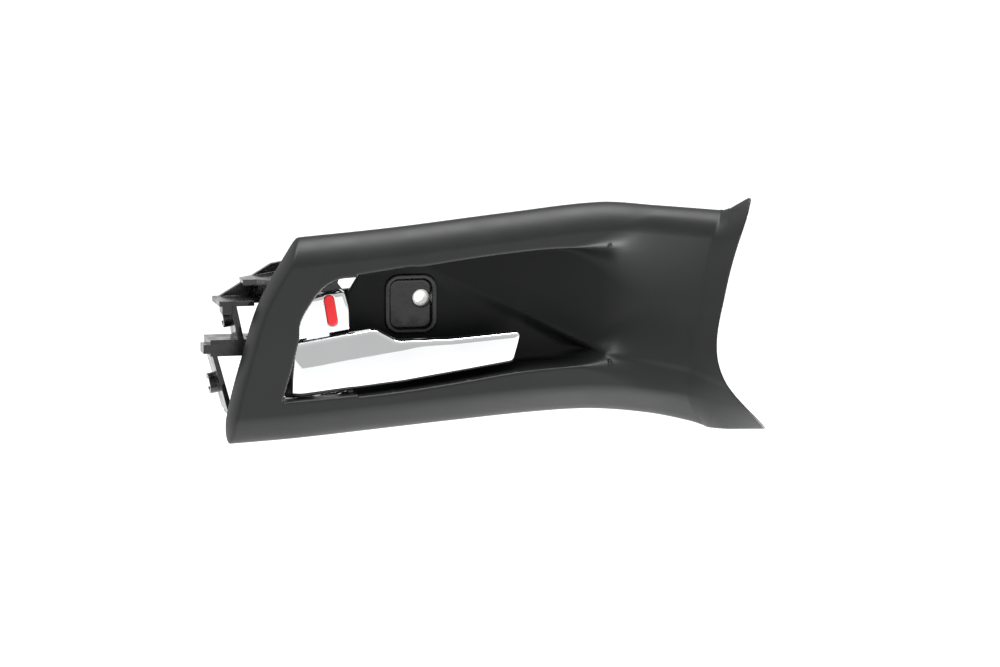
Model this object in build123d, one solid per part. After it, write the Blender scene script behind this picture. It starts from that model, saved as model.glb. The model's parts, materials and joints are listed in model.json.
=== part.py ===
from build123d import *
import math
import os

# Inside door handle of a car: a moulded bezel with a finger recess, and behind it a base
# housing that carries a pull lever and a lock rocker on one pivot pin.
# Millimetres. +X points from the pivot to the free end of the lever, +Z is up in the door,
# and -Y faces the cabin. The origin is the front end of the steel screw sleeve's bore.

# ---- bezel shell ---------------------------------------------------------------------------
WALL = 2.5                # moulded wall of the bezel
FACE_Y = -34.0            # flat front face
RIM_Y = -22.0             # back edge that meets the door panel
EDGE_ROLL = 14.0          # width of the rounded top and bottom bands
END_ROLL = 6.0            # width of the rounded left end
CORNER_R = 9.0            # lower left corner
FLANGE_RISE = 10.0        # how far the end flange stands in front of the face
TIP_RISE = 6.0            # how far its two tips stand in front of the rim

TOP_EDGE = [(-67.1, 34.8), (-20.0, 38.5), (41.0, 44.8), (87.0, 48.8), (116.0, 46.4), (149.6, 43.1)]
BOTTOM_EDGE = [(-104.0, -67.9), (-66.0, -65.8), (10.6, -59.5), (56.6, -56.2), (84.0, -55.8),
               (112.0, -58.9), (133.2, -63.7), (142.4, -67.0)]
LEFT_EDGE = [(-104.0, -67.9), (-101.6, -51.0), (-94.2, -23.5), (-85.5, 3.0), (-67.1, 34.8)]
FLANGE_ROOT = [(142.4, -67.0), (130.7, -50.0), (133.0, -30.0), (137.3, -1.0), (141.9, 26.5),
               (149.6, 43.1)]
FLANGE_RIM = [(169.8, -66.7), (148.5, -43.7), (143.4, -27.0), (147.5, 0.8), (154.1, 28.9),
              (161.5, 51.0)]

# ---- finger recess in the bezel ------------------------------------------------------------
FLOOR_Y = -6.0            # front of the recess floor
RAMP_FOOT_X = 52.0        # where the floor starts to rise towards the flange
RAMP_TOP_X = 132.0        # where it has come out of the face
RAMP_TOP_Y = -36.0
SCOOP_SLOPE = 0.15        # rise of the finger scoop under the ramp, per millimetre
SCOOP_X = (44.0, 91.0)    # ends of the finger scoop
SCOOP_UPPER_Z = -14.0     # its upper corner at the foot of the ramp
SCOOP_TIP_Z = -28.5       # its upper corner at the far end
FLOOR_LEFT_X = -38.0      # the floor stops here, and the hub bay is open
SHIELD_BACK_Y = -23.0     # back of the wall that closes the gap under the lever's hub
RELIEF_DEPTH = 1.9        # how far the lever relief reaches behind the skin
RELIEF_WIDTH = 4.2
RELIEF_LOW_Z = -17.0
OPENING_TOP = [(-38.6, 15.2), (-2.4, 20.1), (33.6, 24.6), (67.8, 26.9), (128.0, 24.0)]
OPENING_BOTTOM = [(-75.6, -45.9), (-45.7, -43.9), (-15.5, -41.2), (15.7, -37.2), (45.3, -33.0),
                  (77.0, -30.6), (128.0, -24.0)]
OPENING_LEFT = [(-75.6, -45.9), (-67.3, -15.5), (-66.6, -7.5), (-63.6, -1.0), (-55.9, 9.4),
                (-47.5, 14.3), (-38.6, 15.2)]
POCKET_X = (-16.2, 4.8)   # pocket around the screw
POCKET_Z = (-15.0, 9.7)
POCKET_FLOOR_Y = -2.5
POCKET_R = 4.5
SCREW_HOLE_R = 4.25       # clearance hole in the bezel

# ---- fixings of the bezel ------------------------------------------------------------------
BOSSES = [(-42.0, 27.0), (-36.0, -53.5), (-87.5, -45.0)]     # row x, z of the screw bosses
BOSS_R = 4.0
BOSS_PILOT_R = 1.3
BOSS_END_Y = 1.0
CASE_SCREW_R = 1.5
CASE_SCREW_HEAD_R = 3.2
CASE_SCREW_LENGTH = 10.0
CASE_SCREW_HEAD_T = 2.0
CROSS = (3.4, 0.9, 1.6)   # length, width and depth of the cross recess
CLIP_TOWERS = [(66.0, 37.0), (112.0, 36.0), (66.0, -44.0), (112.0, -46.5)]
TOWER_X = 9.0             # size of a clip tower
TOWER_Z = 3.0
TOWER_END_Y = -6.0
CLIP_SHEET = 0.7          # spring clip sheet
CLIP_LENGTH = 12.0
BARB_REACH = 2.6          # of a clip's barb from its tower
BARB_W = 4.0
BEZEL_RIBS = [-20.0, 18.0, 42.0, 90.0]                        # row x of the stiffening ribs
RIB = 1.6
RIB_INSET = 1.5           # of a rib from the bezel's edges

# ---- mechanism frame: tilted in the door, x along the lever, z along the pin -----------------
TILT = 9.0                # degrees between the mechanism and the row frame
PIVOT_X = -69.0
PIVOT_Y = -16.0
PIN_R = 2.5
PIN_END = 2.5             # pin above the upper ear
PIN_HEAD_R = 4.3
PIN_HEAD_T = 1.5
PIN_CHAMFER = 0.5
NUT_T = 0.6               # push nut's sheet
NUT_R = 5.0
NUT_RIM = (0.9, 1.5)      # its rim's reach from the pin, and its height
RUN = 0.05                # radial running clearance on the pin
GAP = 0.3                 # axial clearance between a moving hub and its neighbour
EAR_T = 3.0               # ears that hold the pin
TOP_EAR_Z = 22.0          # underside of the upper ear
BOTTOM_EAR_Z = -37.0      # top of the lower ear
EAR_R = 5.5
HOOD_X = (-62.0, -45.0)    # block on the upper ear that fills the opening above the knob
HOOD_Y = (-26.0, -12.0)
HOOD_LOW_Z = 15.8
WASHER_T = 1.0
WASHER_R = 5.2

# ---- lever -----------------------------------------------------------------------------------
DRUM_R = 13.5             # face of the lever and of the knob, measured from the pin
COVER_T = 1.8             # chromed cover
LEVER_DEPTH = 9.5
LEVER_RADII = [0.5, 60, 60, 3.5, 2.5, 20, 9, 7, 0.5]      # of the outline's corners
LEVER_END_X = 43.6
LEVER_TOP_Z = -6.4
LEVER_HUB_BOTTOM_Z = -26.3
LEVER_BOTTOM = [(-84.0, -33.2), (-50.0, -34.6), (-20.0, -36.2), (36.9, -36.7)]
LEVER_HUMP = [(-29.5, -6.4), (-19.5, -14.3), (8.0, -18.3)]     # top edge steps down here
LEVER_TIP_Z = -21.3
COVER_SKIRT = 5.5         # depth of the cover's skirt
CORE_WALL = 2.0
HUB_R = 6.5
DRUM_SWEEP = 60.0         # degrees of drum to the left of the pin
DRUM_STEPS = 8            # facets of the drum
CORE_HOLLOW = 3.0         # depth of the grip's hollow
SPRING_ROOM = 1.2         # room round the return spring
SPRING_LEG = (4.2, 9.0)   # x and y from the pin to the hole of the spring's upper leg
SPRING_LEG_DEPTH = 6.0
SPRING_LEG_RUN = 0.15     # radial clearance of that hole
LEVER_TRAVEL = 32.0       # degrees
ARM_REACH = 22.0          # pin to cable hole
ARM_T = 4.0
ARM_W = 8.0
LATCH_ARM_Z = -24.0       # middle of the lever's cable arm
LOCK_ARM_Z = 7.5          # middle of the knob's cable arm
BUSH_R = 2.6
BUSH_FLANGE = 0.8         # height and reach of the bush's flanges
CABLE_HOLE_R = 1.6

# ---- lock knob -------------------------------------------------------------------------------
KNOB_BOTTOM_Z = -4.8
KNOB_TOP_Z = 15.2
KNOB_END_X = -40.6
KNOB_DEPTH = 7.0
KNOB_RADII = [0.5, 1.5, 20, 2.5, 0.5]
KNOB_BEND_Z = 6.0         # where its right edge bends
KNOB_LEAN = (1.4, 1.0)    # how far that edge leans back at the bottom and the top
KNOB_HUB_R = 6.0
KNOB_SWEEP = 30.0
KNOB_TRAVEL = 18.0
MARK_W = 5.2
MARK_H = 15.8
MARK_X = -50.3
MARK_Z = 6.7
MARK_T = 0.5
DETENT_R = 1.2

# ---- base housing ----------------------------------------------------------------------------
SPINE_Y = (1.0, 4.0)
SPINE_END_X = 11.5
SLEEVE_R = 5.0
SLEEVE_BORE_R = 3.3
SLEEVE_LENGTH = 8.0
EAR_BOSS_R = 8.0
SPINE_RIB_H = 5.0
SPINE_RIB_T = 1.6
SPINE_RIB_X = (-47.0, -33.0, -19.0)
SPINE_RIB_Z = 8.0         # of the two long ribs, above and below the sleeve
STOP_T = 5.0              # blocks behind the two bumpers
REST_T = 3.0
SCREW_RUN = 0.2           # radial clearance of a case screw in its lug
LUG_WALL = 1.5            # lug outside the bezel's boss radius
BRACKET_Y = (-10.0, 11.0)
SHELF_T = 2.6
STRUT_T = 3.0
CABLE_Y = PIVOT_Y + ARM_REACH
SLOT_R = 3.25
COLLAR_R = 5.2
COLLAR_LENGTH = 4.0
WEB_Y = (8.0, 11.0)
SLOT_MOUTH = 4.6          # snap-in mouth of a conduit seat
LOCK_SEAT_X = -95.5       # mechanism x of the two conduit seats
LATCH_SEAT_X = -107.5

# ---- springs and bumpers ---------------------------------------------------------------------
WIRE_R = 0.6
COIL_R = 5.6
COIL_TURNS = 4.5
SPOOL_R = 4.2
LEAF_T = 0.5
LEAF_SPAN = (-3.0, 10.0)  # x of the detent leaf, from the pin
LEAF_REACH = 7.5          # below the upper ear
LEAF_FOOT = 6.0           # depth of its foot
LEAF_RIB = 5.0            # length of its rib
BUMPER_T = 3.0
STOP_BUMPER_T = 2.0
# the lever's arm stops against this plane after LEVER_TRAVEL
STOP_X = PIVOT_X + ARM_REACH * math.sin(math.radians(LEVER_TRAVEL)) + ARM_W / 2 + GAP
PAD_T = 2.5
PAD_SIZE = (14.0, 10.0)
PADS = ((16.0, 4.0), (34.0, 8.0), (22.0, -20.0))    # row x, z of their corners

FAR = 80.0                # longer than any cut needs
BACK_Y = 10.0             # behind everything that the bezel's inside is cut with
SECTIONS = 12             # slices along the bezel
FLANGE_SLICES = 12
ROLL_STEPS = (0.0, 0.1, 0.35, 1.0)


def curve(points, t):
    """Point at the share t of a smooth curve through the given points."""
    count = len(points) - 1
    lengths = [math.dist(points[i], points[i + 1]) for i in range(count)]
    knots = [0.0]
    for length in lengths:
        knots.append(knots[-1] + length / sum(lengths))
    span = max(i for i in range(count) if knots[i] <= t + 1e-9)
    h = knots[span + 1] - knots[span]
    s = (t - knots[span]) / h

    def slope(i, axis):
        low, high = max(i - 1, 0), min(i + 1, count)
        return (points[high][axis] - points[low][axis]) / (knots[high] - knots[low])

    return tuple(
        (2 * s**3 - 3 * s**2 + 1) * points[span][axis]
        + (s**3 - 2 * s**2 + s) * h * slope(span, axis)
        + (3 * s**2 - 2 * s**3) * points[span + 1][axis]
        + (s**3 - s**2) * h * slope(span + 1, axis)
        for axis in (0, 1)
    )


def height_at(points, x):
    """The second coordinate of a left-to-right curve where the first one is x."""
    low, high = 0.0, 1.0
    for _ in range(40):
        middle = (low + high) / 2
        if curve(points, middle)[0] < x:
            low = middle
        else:
            high = middle
    return curve(points, (low + high) / 2)[1]


def roll(distance, width):
    """Quarter-round profile: 0 at the edge, 1 from `width` inwards."""
    share = min(max(distance / width, 0.0), 1.0)
    return math.sqrt(1 - (1 - share) ** 2)


def tilted(shape):
    """From the mechanism frame to the row frame."""
    return Rot(0, -TILT, 0) * shape


def to_local(x, z):
    """Row x, z to mechanism x, z."""
    a = math.radians(TILT)
    return x * math.cos(a) + z * math.sin(a), z * math.cos(a) - x * math.sin(a)


def block(x, y, z):
    """Box between two corners, each given as (low, high)."""
    size = [high - low for low, high in (x, y, z)]
    return Pos(x[0], y[0], z[0]) * Box(*size, align=(Align.MIN,) * 3)


def prism_xz(wire_edges, y_low, y_high):
    """Solid with an outline in the XZ plane, between two depths."""
    face = Face(Wire(wire_edges)).moved(Location((0, y_low, 0)))
    return Solid.extrude(face, (0, y_high - y_low, 0))


def polygon_xz(points, y_low, y_high):
    corners = [Vector(x, 0, z) for x, z in points]
    return prism_xz(Polyline(*corners, close=True).edges(), y_low, y_high)


def polygon_xy(points, z_low, z_high):
    corners = [Vector(x, y, z_low) for x, y in points]
    face = Face(Wire(Polyline(*corners, close=True).edges()))
    return Solid.extrude(face, (0, 0, z_high - z_low))


def rod_z(x, y, z_low, z_high, radius):
    return Pos(x, y, (z_low + z_high) / 2) * Cylinder(radius, z_high - z_low)


def rod_y(x, z, y_low, y_high, radius):
    return Pos(x, (y_low + y_high) / 2, z) * Rot(90, 0, 0) * Cylinder(radius, y_high - y_low)


def rod_x(y, z, x_low, x_high, radius):
    return Pos((x_low + x_high) / 2, y, z) * Rot(0, 90, 0) * Cylinder(radius, x_high - x_low)


def joined(pieces):
    """One solid made of touching pieces."""
    whole = pieces[0]
    for piece in pieces[1:]:
        whole = whole + piece
    return whole


def group(pieces):
    """Separate solids that share one node."""
    return Compound([solid for piece in pieces for solid in piece.solids()])


def save(node, shape):
    export_step(shape, os.path.join("parts", node + ".step"))


# ---- bezel -----------------------------------------------------------------------------------

def lofted(outlines):
    """Solid with flat facets between closed outlines that have the same number of corners."""
    wires = [Wire(Polyline(*[Vector(*p) for p in points], close=True).edges()) for points in outlines]
    return Solid.make_loft(wires, ruled=True)


def band_mass(inset):
    """Bar with the rounded top and bottom bands, longer than the bezel at both ends."""
    sections = []
    x_low, x_high = BOTTOM_EDGE[0][0] - 6, FLANGE_ROOT[0][0] + 10
    for step in range(SECTIONS + 1):
        x = x_low + (x_high - x_low) * step / SECTIONS
        low = height_at(BOTTOM_EDGE, x) + inset
        high = height_at(TOP_EDGE, x) - inset
        profile = [(BACK_Y, low)] if inset else []
        for share in ROLL_STEPS:
            y = RIM_Y + inset + (FACE_Y - RIM_Y) * roll(share, 1.0)
            profile.append((y, low + share * EDGE_ROLL))
        mirrored = [(y, low + high - z) for y, z in reversed(profile)]
        sections.append([(x, y, z) for y, z in profile + mirrored])
    return lofted(sections)


def end_mass(inset, right_reach):
    """Block whose left side is the rounded left end, and whose right side is the flange root."""
    outlines = []
    depths = [0.0, *ROLL_STEPS[1:]]
    if inset:
        depths.insert(0, None)
    for share in depths:
        y = BACK_Y if share is None else RIM_Y + inset + (FACE_Y - RIM_Y) * roll(share, 1.0)
        if share == 1.0:
            y -= 1.0
        shift = inset + (share or 0) * END_ROLL
        left = [curve(LEFT_EDGE, i / 6) for i in range(7)]
        right = [curve(FLANGE_ROOT, 1 - i / 6) for i in range(7)]
        left = [(left[0][0] - 3 + shift, left[0][1] - 12)] + [(x + shift, z) for x, z in left]
        left.append((left[-1][0] + 9, left[-1][1] + 20))
        right = [(right[0][0] + 3, right[0][1] + 15)] + right + [(right[-1][0], right[-1][1] - 15)]
        outlines.append([(x, y, z) for x, z in left]
                        + [(x + right_reach, y, z) for x, z in right])
    return lofted(outlines)


def flange_plate():
    """Flared end flange, in level slices from its lower tip to its upper tip."""
    root = [(z, x) for x, z in FLANGE_ROOT] + [(FLANGE_RIM[-1][1], FLANGE_RIM[-1][0] - 1)]
    rim = [(z, x) for x, z in FLANGE_RIM]
    low_z, high_z = rim[0][0], rim[-1][0]
    slices = []
    for step in range(FLANGE_SLICES + 1):
        z = low_z + (high_z - low_z) * step / FLANGE_SLICES
        root_x, rim_x = height_at(root, z), height_at(rim, z)
        edge = min(z - low_z, max(FLANGE_ROOT[-1][1] - z, 0))
        edge_roll = roll(edge, EDGE_ROLL)
        root_y = RIM_Y + (FACE_Y - RIM_Y) * edge_roll
        rim_y = root_y - TIP_RISE - (FLANGE_RISE - TIP_RISE) * edge_roll
        mid_x, mid_y = (root_x + rim_x) / 2, root_y + 0.35 * (rim_y - root_y)
        slices.append([(root_x - 3, root_y + 0.5, z), (mid_x, mid_y, z), (rim_x, rim_y, z),
                       (rim_x + 1, rim_y + WALL, z), (mid_x + 1, mid_y + WALL + 0.5, z),
                       (root_x - 3, root_y + WALL - 0.3, z)])
    return lofted(slices)


def opening_edges(left, shift, end_x):
    """Closed outline of the recess opening, moved out by `shift` at the top and bottom."""
    top = [(x, z + shift) for x, z in OPENING_TOP if left <= x]
    bottom = [(x, z - shift) for x, z in OPENING_BOTTOM if left <= x]
    if left > OPENING_LEFT[0][0]:
        top.insert(0, (left, height_at(OPENING_TOP, max(left, OPENING_TOP[0][0])) + shift))
        bottom.insert(0, (left, height_at(OPENING_BOTTOM, left) - shift))
        side = [(left, bottom[0][1]), (left, top[0][1])]
    else:
        side = [curve(OPENING_LEFT, i / 12) for i in range(13)]
    corners = side[:-1] + top + list(reversed(bottom))[:-1]
    return Polyline(*[(x, 0, z) for x, z in corners], close=True).edges()


def ramp_profile(back):
    """Side view of the recess: floor, then the ramp up to the face; `back` moves it in."""
    slope = (RAMP_TOP_Y - FLOOR_Y) / (RAMP_TOP_X - RAMP_FOOT_X)
    far_x = RAMP_TOP_X + 20
    return [(-FAR * 2, -FAR), (far_x, -FAR), (far_x, RAMP_TOP_Y + slope * 20 + back),
            (RAMP_FOOT_X, FLOOR_Y + back), (-FAR * 2, FLOOR_Y + back)]


def scoop(back, margin):
    """Finger scoop below the ramp, deeper than the ramp itself."""
    left_x, right_x = SCOOP_X
    outline = [(left_x, SCOOP_UPPER_Z + margin), (RAMP_FOOT_X + margin, SCOOP_UPPER_Z + margin),
               (right_x + margin, SCOOP_TIP_Z + margin),
               (right_x + margin, height_at(OPENING_BOTTOM, right_x) - margin),
               (left_x, height_at(OPENING_BOTTOM, left_x) - margin)]
    end_y = FLOOR_Y - SCOOP_SLOPE * (right_x - RAMP_FOOT_X)
    profile = [(left_x, -FAR), (right_x + 5, -FAR), (right_x + 5, end_y + back),
               (RAMP_FOOT_X, FLOOR_Y + back), (left_x, FLOOR_Y + back)]
    return polygon_xz(outline, -FAR, 0) & polygon_xy(profile, -FAR, FAR)


def pocket(margin, y_low, y_high):
    width = POCKET_X[1] - POCKET_X[0] + 2 * margin
    height = POCKET_Z[1] - POCKET_Z[0] + 2 * margin
    centre_x, centre_z = sum(POCKET_X) / 2, sum(POCKET_Z) / 2
    sketch = Plane.XZ * RectangleRounded(width, height, POCKET_R + margin)
    face = sketch.face().moved(Location((centre_x, y_low, centre_z)))
    return Solid.extrude(face, (0, y_high - y_low, 0))


def lever_relief():
    """Bevel under the left edge of the opening, where the turning lever passes."""
    edge_x = to_local(*OPENING_LEFT[1])[0]
    back_y = FACE_Y + WALL + RELIEF_DEPTH
    points = [(edge_x + 3, FACE_Y + 0.6), (edge_x, FACE_Y + 0.6), (edge_x - RELIEF_WIDTH, back_y),
              (edge_x + 3, back_y)]
    return tilted(polygon_xy(points, RELIEF_LOW_Z, KNOB_BOTTOM_Z + 3))


def gap_shield():
    """Wall along the lower edge of the opening, in front of the hub bay."""
    upper = [(x, z) for x, z in OPENING_BOTTOM if x < FLOOR_LEFT_X]
    upper.append((FLOOR_LEFT_X + 1, height_at(OPENING_BOTTOM, FLOOR_LEFT_X + 1)))
    lower = [(x, z - WALL) for x, z in reversed(upper)]
    return polygon_xz(upper + lower, FACE_Y + WALL / 2, SHIELD_BACK_Y)


def bezel_posts():
    """Screw bosses, clip towers and stiffening ribs behind the skin."""
    start_y = FACE_Y + WALL / 2
    posts = [rod_y(x, z, start_y, BOSS_END_Y, BOSS_R) for x, z in BOSSES]
    for x, z in CLIP_TOWERS:
        posts.append(block((x - TOWER_X / 2, x + TOWER_X / 2), (start_y, TOWER_END_Y),
                           (z - TOWER_Z / 2, z + TOWER_Z / 2)))
    for x in BEZEL_RIBS:
        above = (height_at(OPENING_TOP, x) + WALL / 2, height_at(TOP_EDGE, x) - RIB_INSET)
        below = (height_at(BOTTOM_EDGE, x) + RIB_INSET, height_at(OPENING_BOTTOM, x) - WALL / 2)
        for span in (above, below):
            rib = block((x - RIB / 2, x + RIB / 2), (FACE_Y - 1, RIM_Y - RIB_INSET), span)
            posts.append(rib)
    return posts


def make_bezel():
    outer = band_mass(0) & end_mass(0, 0)
    inner = band_mass(WALL) & end_mass(WALL, 12)
    shell = outer - inner
    recess = prism_xz(opening_edges(FLOOR_LEFT_X, WALL, OPENING_TOP[-1][0]), FACE_Y + WALL / 2, 0)
    bucket = recess & polygon_xy(ramp_profile(WALL), -FAR, FAR)
    bucket = bucket + (scoop(WALL, WALL) & block((-FAR, FAR * 2), (FACE_Y + WALL / 2, 0), (-FAR, FAR)))
    behind_rim = block((-FAR * 2, FAR * 3), (RIM_Y, BACK_Y), (-FAR, FAR))
    posts = []
    for post in bezel_posts():
        posts.append(post & outer)
        if post.bounding_box().max.Y > RIM_Y:
            posts.append(post & behind_rim)
    bezel = joined([shell, bucket, gap_shield(), flange_plate()] + posts)
    opening = prism_xz(opening_edges(-FAR * 2, 0, OPENING_TOP[-1][0]), -FAR, 0)
    bezel = bezel - (opening & polygon_xy(ramp_profile(0), -FAR, FAR))
    bezel = bezel - scoop(0, 0)
    bezel = bezel - pocket(WALL, FLOOR_Y - 1, 0)
    bezel = bezel - lever_relief()
    for x, z in BOSSES:
        bezel = bezel - rod_y(x, z, BOSS_END_Y - CASE_SCREW_LENGTH - 2, BOSS_END_Y + 1, BOSS_PILOT_R)
    corner_x, corner_z = LEFT_EDGE[0]
    corner = block((corner_x - 5, corner_x + CORNER_R), (-FAR, 0), (corner_z - 5, corner_z + CORNER_R))
    corner = corner - rod_y(corner_x + CORNER_R + 0.8, corner_z + CORNER_R + 0.4, -FAR, 0, CORNER_R)
    return bezel - corner


def make_screw_cup():
    """Rounded cup in the recess floor that the mounting screw clamps."""
    cup = pocket(WALL, FLOOR_Y, 0) - pocket(0, FLOOR_Y - 1, POCKET_FLOOR_Y)
    return cup - rod_y(0, 0, FLOOR_Y - 1, 1, SCREW_HOLE_R)


# ---- lever and lock knob ---------------------------------------------------------------------

def drum_profile(outer, depth, end_x, sweep):
    """Section of a plate whose face is flat to the right of the pin and wraps the pin to the left.

    `outer` is the distance of the face from the pin, `depth` the thickness behind it."""
    inner = outer - depth
    turn = math.radians(sweep)

    def on_drum(radius, angle):
        return PIVOT_X - radius * math.sin(angle), PIVOT_Y - radius * math.cos(angle)

    points = [(end_x, PIVOT_Y - outer)]
    points += [on_drum(outer, turn * i / DRUM_STEPS) for i in range(DRUM_STEPS + 1)]
    points += [on_drum(inner, turn * i / DRUM_STEPS) for i in range(DRUM_STEPS, -1, -1)]
    points.append((end_x, PIVOT_Y - inner))
    return points


def rounded_prism(points, radii, y_low, y_high):
    """Outline with rounded corners in the XZ plane, extruded along Y."""
    wire = FilletPolyline(*[(x, 0, z) for x, z in points], radius=radii, close=True)
    return prism_xz(wire.edges(), y_low, y_high)


def lever_outline(inset, y_low, y_high):
    left_x, low_z, high_z = PIVOT_X - DRUM_R - 2, LEVER_BOTTOM[0][1] + inset, LEVER_TOP_Z - inset
    points = [(left_x, low_z), *[(x, z + inset) for x, z in LEVER_BOTTOM[1:-1]],
              (LEVER_BOTTOM[-1][0] - inset, LEVER_BOTTOM[-1][1] + inset),
              (LEVER_END_X - inset, LEVER_TIP_Z - inset),
              (LEVER_HUMP[2][0], LEVER_HUMP[2][1] - inset), (LEVER_HUMP[1][0], LEVER_HUMP[1][1] - inset),
              (LEVER_HUMP[0][0], high_z), (left_x, high_z)]
    return rounded_prism(points, LEVER_RADII, y_low, y_high)


def make_pull_lever():
    """Chromed cover: the visible face with a skirt all round."""
    face_y = PIVOT_Y - DRUM_R
    plate = polygon_xy(drum_profile(DRUM_R, COVER_T, LEVER_END_X + 5, DRUM_SWEEP), -45, 0)
    deep = polygon_xy(drum_profile(DRUM_R, COVER_SKIRT, LEVER_END_X + 5, DRUM_SWEEP), -45, 0)
    whole = lever_outline(0, face_y - 1, PIVOT_Y)
    core = lever_outline(COVER_T, face_y - 1, PIVOT_Y)
    return (whole & plate) + ((whole - core) & deep)


def make_lever_core():
    """Black inner part of the lever: grip back, hub, webs and cable arm."""
    inner_r = DRUM_R - COVER_T
    back = drum_profile(inner_r, LEVER_DEPTH - COVER_T, LEVER_END_X + 5, DRUM_SWEEP)
    filler = polygon_xy(back, -45, 0) & lever_outline(COVER_T, PIVOT_Y - DRUM_R - 1, PIVOT_Y)
    hollow = drum_profile(inner_r - CORE_WALL, CORE_HOLLOW, LEVER_END_X + 5, DRUM_SWEEP)
    filler = filler - (polygon_xy(hollow, -45, 0) & lever_outline(COVER_T + CORE_WALL,
                                                                  PIVOT_Y - DRUM_R - 1, PIVOT_Y))
    low, high = LEVER_HUB_BOTTOM_Z, LEVER_TOP_Z
    hub = rod_z(PIVOT_X, PIVOT_Y, low, high, HUB_R)
    webs = []
    for z in (low, (low + high) / 2, high - COVER_T - CORE_WALL):
        webs.append(rod_z(PIVOT_X, PIVOT_Y, z, z + CORE_WALL, inner_r - 0.5)
                    - block((PIVOT_X - 20, PIVOT_X + 20), (PIVOT_Y + 2, 0), (low - 1, high)))
    arm = cable_arm(LATCH_ARM_Z, PIVOT_X, ARM_T)
    spring_room = rod_z(PIVOT_X, PIVOT_Y, -45, LEVER_HUB_BOTTOM_Z, COIL_R + WIRE_R + SPRING_ROOM)
    core = joined([filler - spring_room, hub] + webs + [arm])
    leg_x, leg_y = PIVOT_X + SPRING_LEG[0], PIVOT_Y + SPRING_LEG[1]
    spring_hole = rod_z(leg_x, leg_y, low - 1, low + SPRING_LEG_DEPTH, WIRE_R + SPRING_LEG_RUN)
    return core - rod_z(PIVOT_X, PIVOT_Y, -45, 0, PIN_R + RUN) - spring_hole


def cable_arm(z, x, thickness):
    """Arm from a hub back to the cable hole, with an eye for the bush."""
    low, high = z - thickness / 2, z + thickness / 2
    web = block((x - ARM_W / 2, x + ARM_W / 2), (PIVOT_Y, CABLE_Y), (low, high))
    eye = rod_z(x, CABLE_Y, low, high, ARM_W / 2)
    return web + eye - rod_z(x, CABLE_Y, low - 1, high + 1, BUSH_R)


def make_bush(z):
    """Flanged snap bush for a cable end, in the eye of an arm."""
    low, high = z - ARM_T / 2, z + ARM_T / 2
    body = rod_z(PIVOT_X, CABLE_Y, low - BUSH_FLANGE, high + BUSH_FLANGE, BUSH_R)
    flanges = rod_z(PIVOT_X, CABLE_Y, high, high + BUSH_FLANGE, BUSH_R + BUSH_FLANGE)
    flanges += rod_z(PIVOT_X, CABLE_Y, low - BUSH_FLANGE, low, BUSH_R + BUSH_FLANGE)
    return body + flanges - rod_z(PIVOT_X, CABLE_Y, low - 2, high + 2, CABLE_HOLE_R)


def knob_outline(inset, y_low, y_high):
    left_x = PIVOT_X - DRUM_R - 2
    points = [(left_x, KNOB_BOTTOM_Z + inset), (KNOB_END_X - KNOB_LEAN[0] - inset, KNOB_BOTTOM_Z + inset),
              (KNOB_END_X - inset, KNOB_BEND_Z), (KNOB_END_X - KNOB_LEAN[1] - inset, KNOB_TOP_Z - inset),
              (left_x, KNOB_TOP_Z - inset)]
    return rounded_prism(points, KNOB_RADII, y_low, y_high)


def make_lock_knob():
    """Chromed rocker: a shallow cap on a hub, with the lock cable's arm."""
    face_y = PIVOT_Y - DRUM_R
    low, high = KNOB_BOTTOM_Z, TOP_EAR_Z - WASHER_T - GAP
    plate = polygon_xy(drum_profile(DRUM_R, COVER_T, 0, KNOB_SWEEP), -10, 30)
    deep = polygon_xy(drum_profile(DRUM_R, KNOB_DEPTH, 0, KNOB_SWEEP), -10, 30)
    whole = knob_outline(0, face_y - 1, PIVOT_Y)
    core = knob_outline(COVER_T, face_y - 1, PIVOT_Y)
    shell = (whole & plate) + ((whole - core) & deep)
    hub = rod_z(PIVOT_X, PIVOT_Y, low, high, KNOB_HUB_R)
    web_reach = DRUM_R - 0.5
    webs = []
    for z in (low, LOCK_ARM_Z - 1, KNOB_TOP_Z - COVER_T):
        web = [(PIVOT_X - 4, PIVOT_Y), (PIVOT_X - 7, PIVOT_Y - web_reach * 0.8),
               (PIVOT_X, PIVOT_Y - web_reach), (PIVOT_X + 16, PIVOT_Y - web_reach),
               (PIVOT_X + 5, PIVOT_Y)]
        webs.append(polygon_xy(web, z, z + COVER_T))
    knob = joined([shell, hub] + webs + [cable_arm(LOCK_ARM_Z, PIVOT_X, ARM_T)])
    knob = knob - rod_z(PIVOT_X, PIVOT_Y, -45, 30, PIN_R + RUN) - mark(0)
    for turn in (0, -KNOB_TRAVEL):
        notch = rod_z(0, KNOB_HUB_R + DETENT_R, TOP_EAR_Z - 8, TOP_EAR_Z + 1, DETENT_R + GAP)
        knob = knob - Pos(PIVOT_X, PIVOT_Y, 0) * Rot(0, 0, turn) * notch
    return knob


def mark(proud):
    """Rounded bar set into the knob's face."""
    face_y = PIVOT_Y - DRUM_R
    sketch = Plane.XZ * SlotOverall(MARK_H, MARK_W, rotation=90)
    face = sketch.face().moved(Location((MARK_X, face_y - proud, MARK_Z)))
    return Solid.extrude(face, (0, MARK_T + proud, 0))


# ---- pin, washers, springs ---------------------------------------------------------------------

def make_pin():
    top = TOP_EAR_Z + EAR_T + PIN_END
    bottom = BOTTOM_EAR_Z - EAR_T
    shank = rod_z(PIVOT_X, PIVOT_Y, bottom, top, PIN_R)
    head = rod_z(PIVOT_X, PIVOT_Y, bottom - PIN_HEAD_T, bottom, PIN_HEAD_R)
    return chamfer((shank + head).edges().filter_by(GeomType.CIRCLE).sort_by(Axis.Z)[-1], PIN_CHAMFER)


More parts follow.
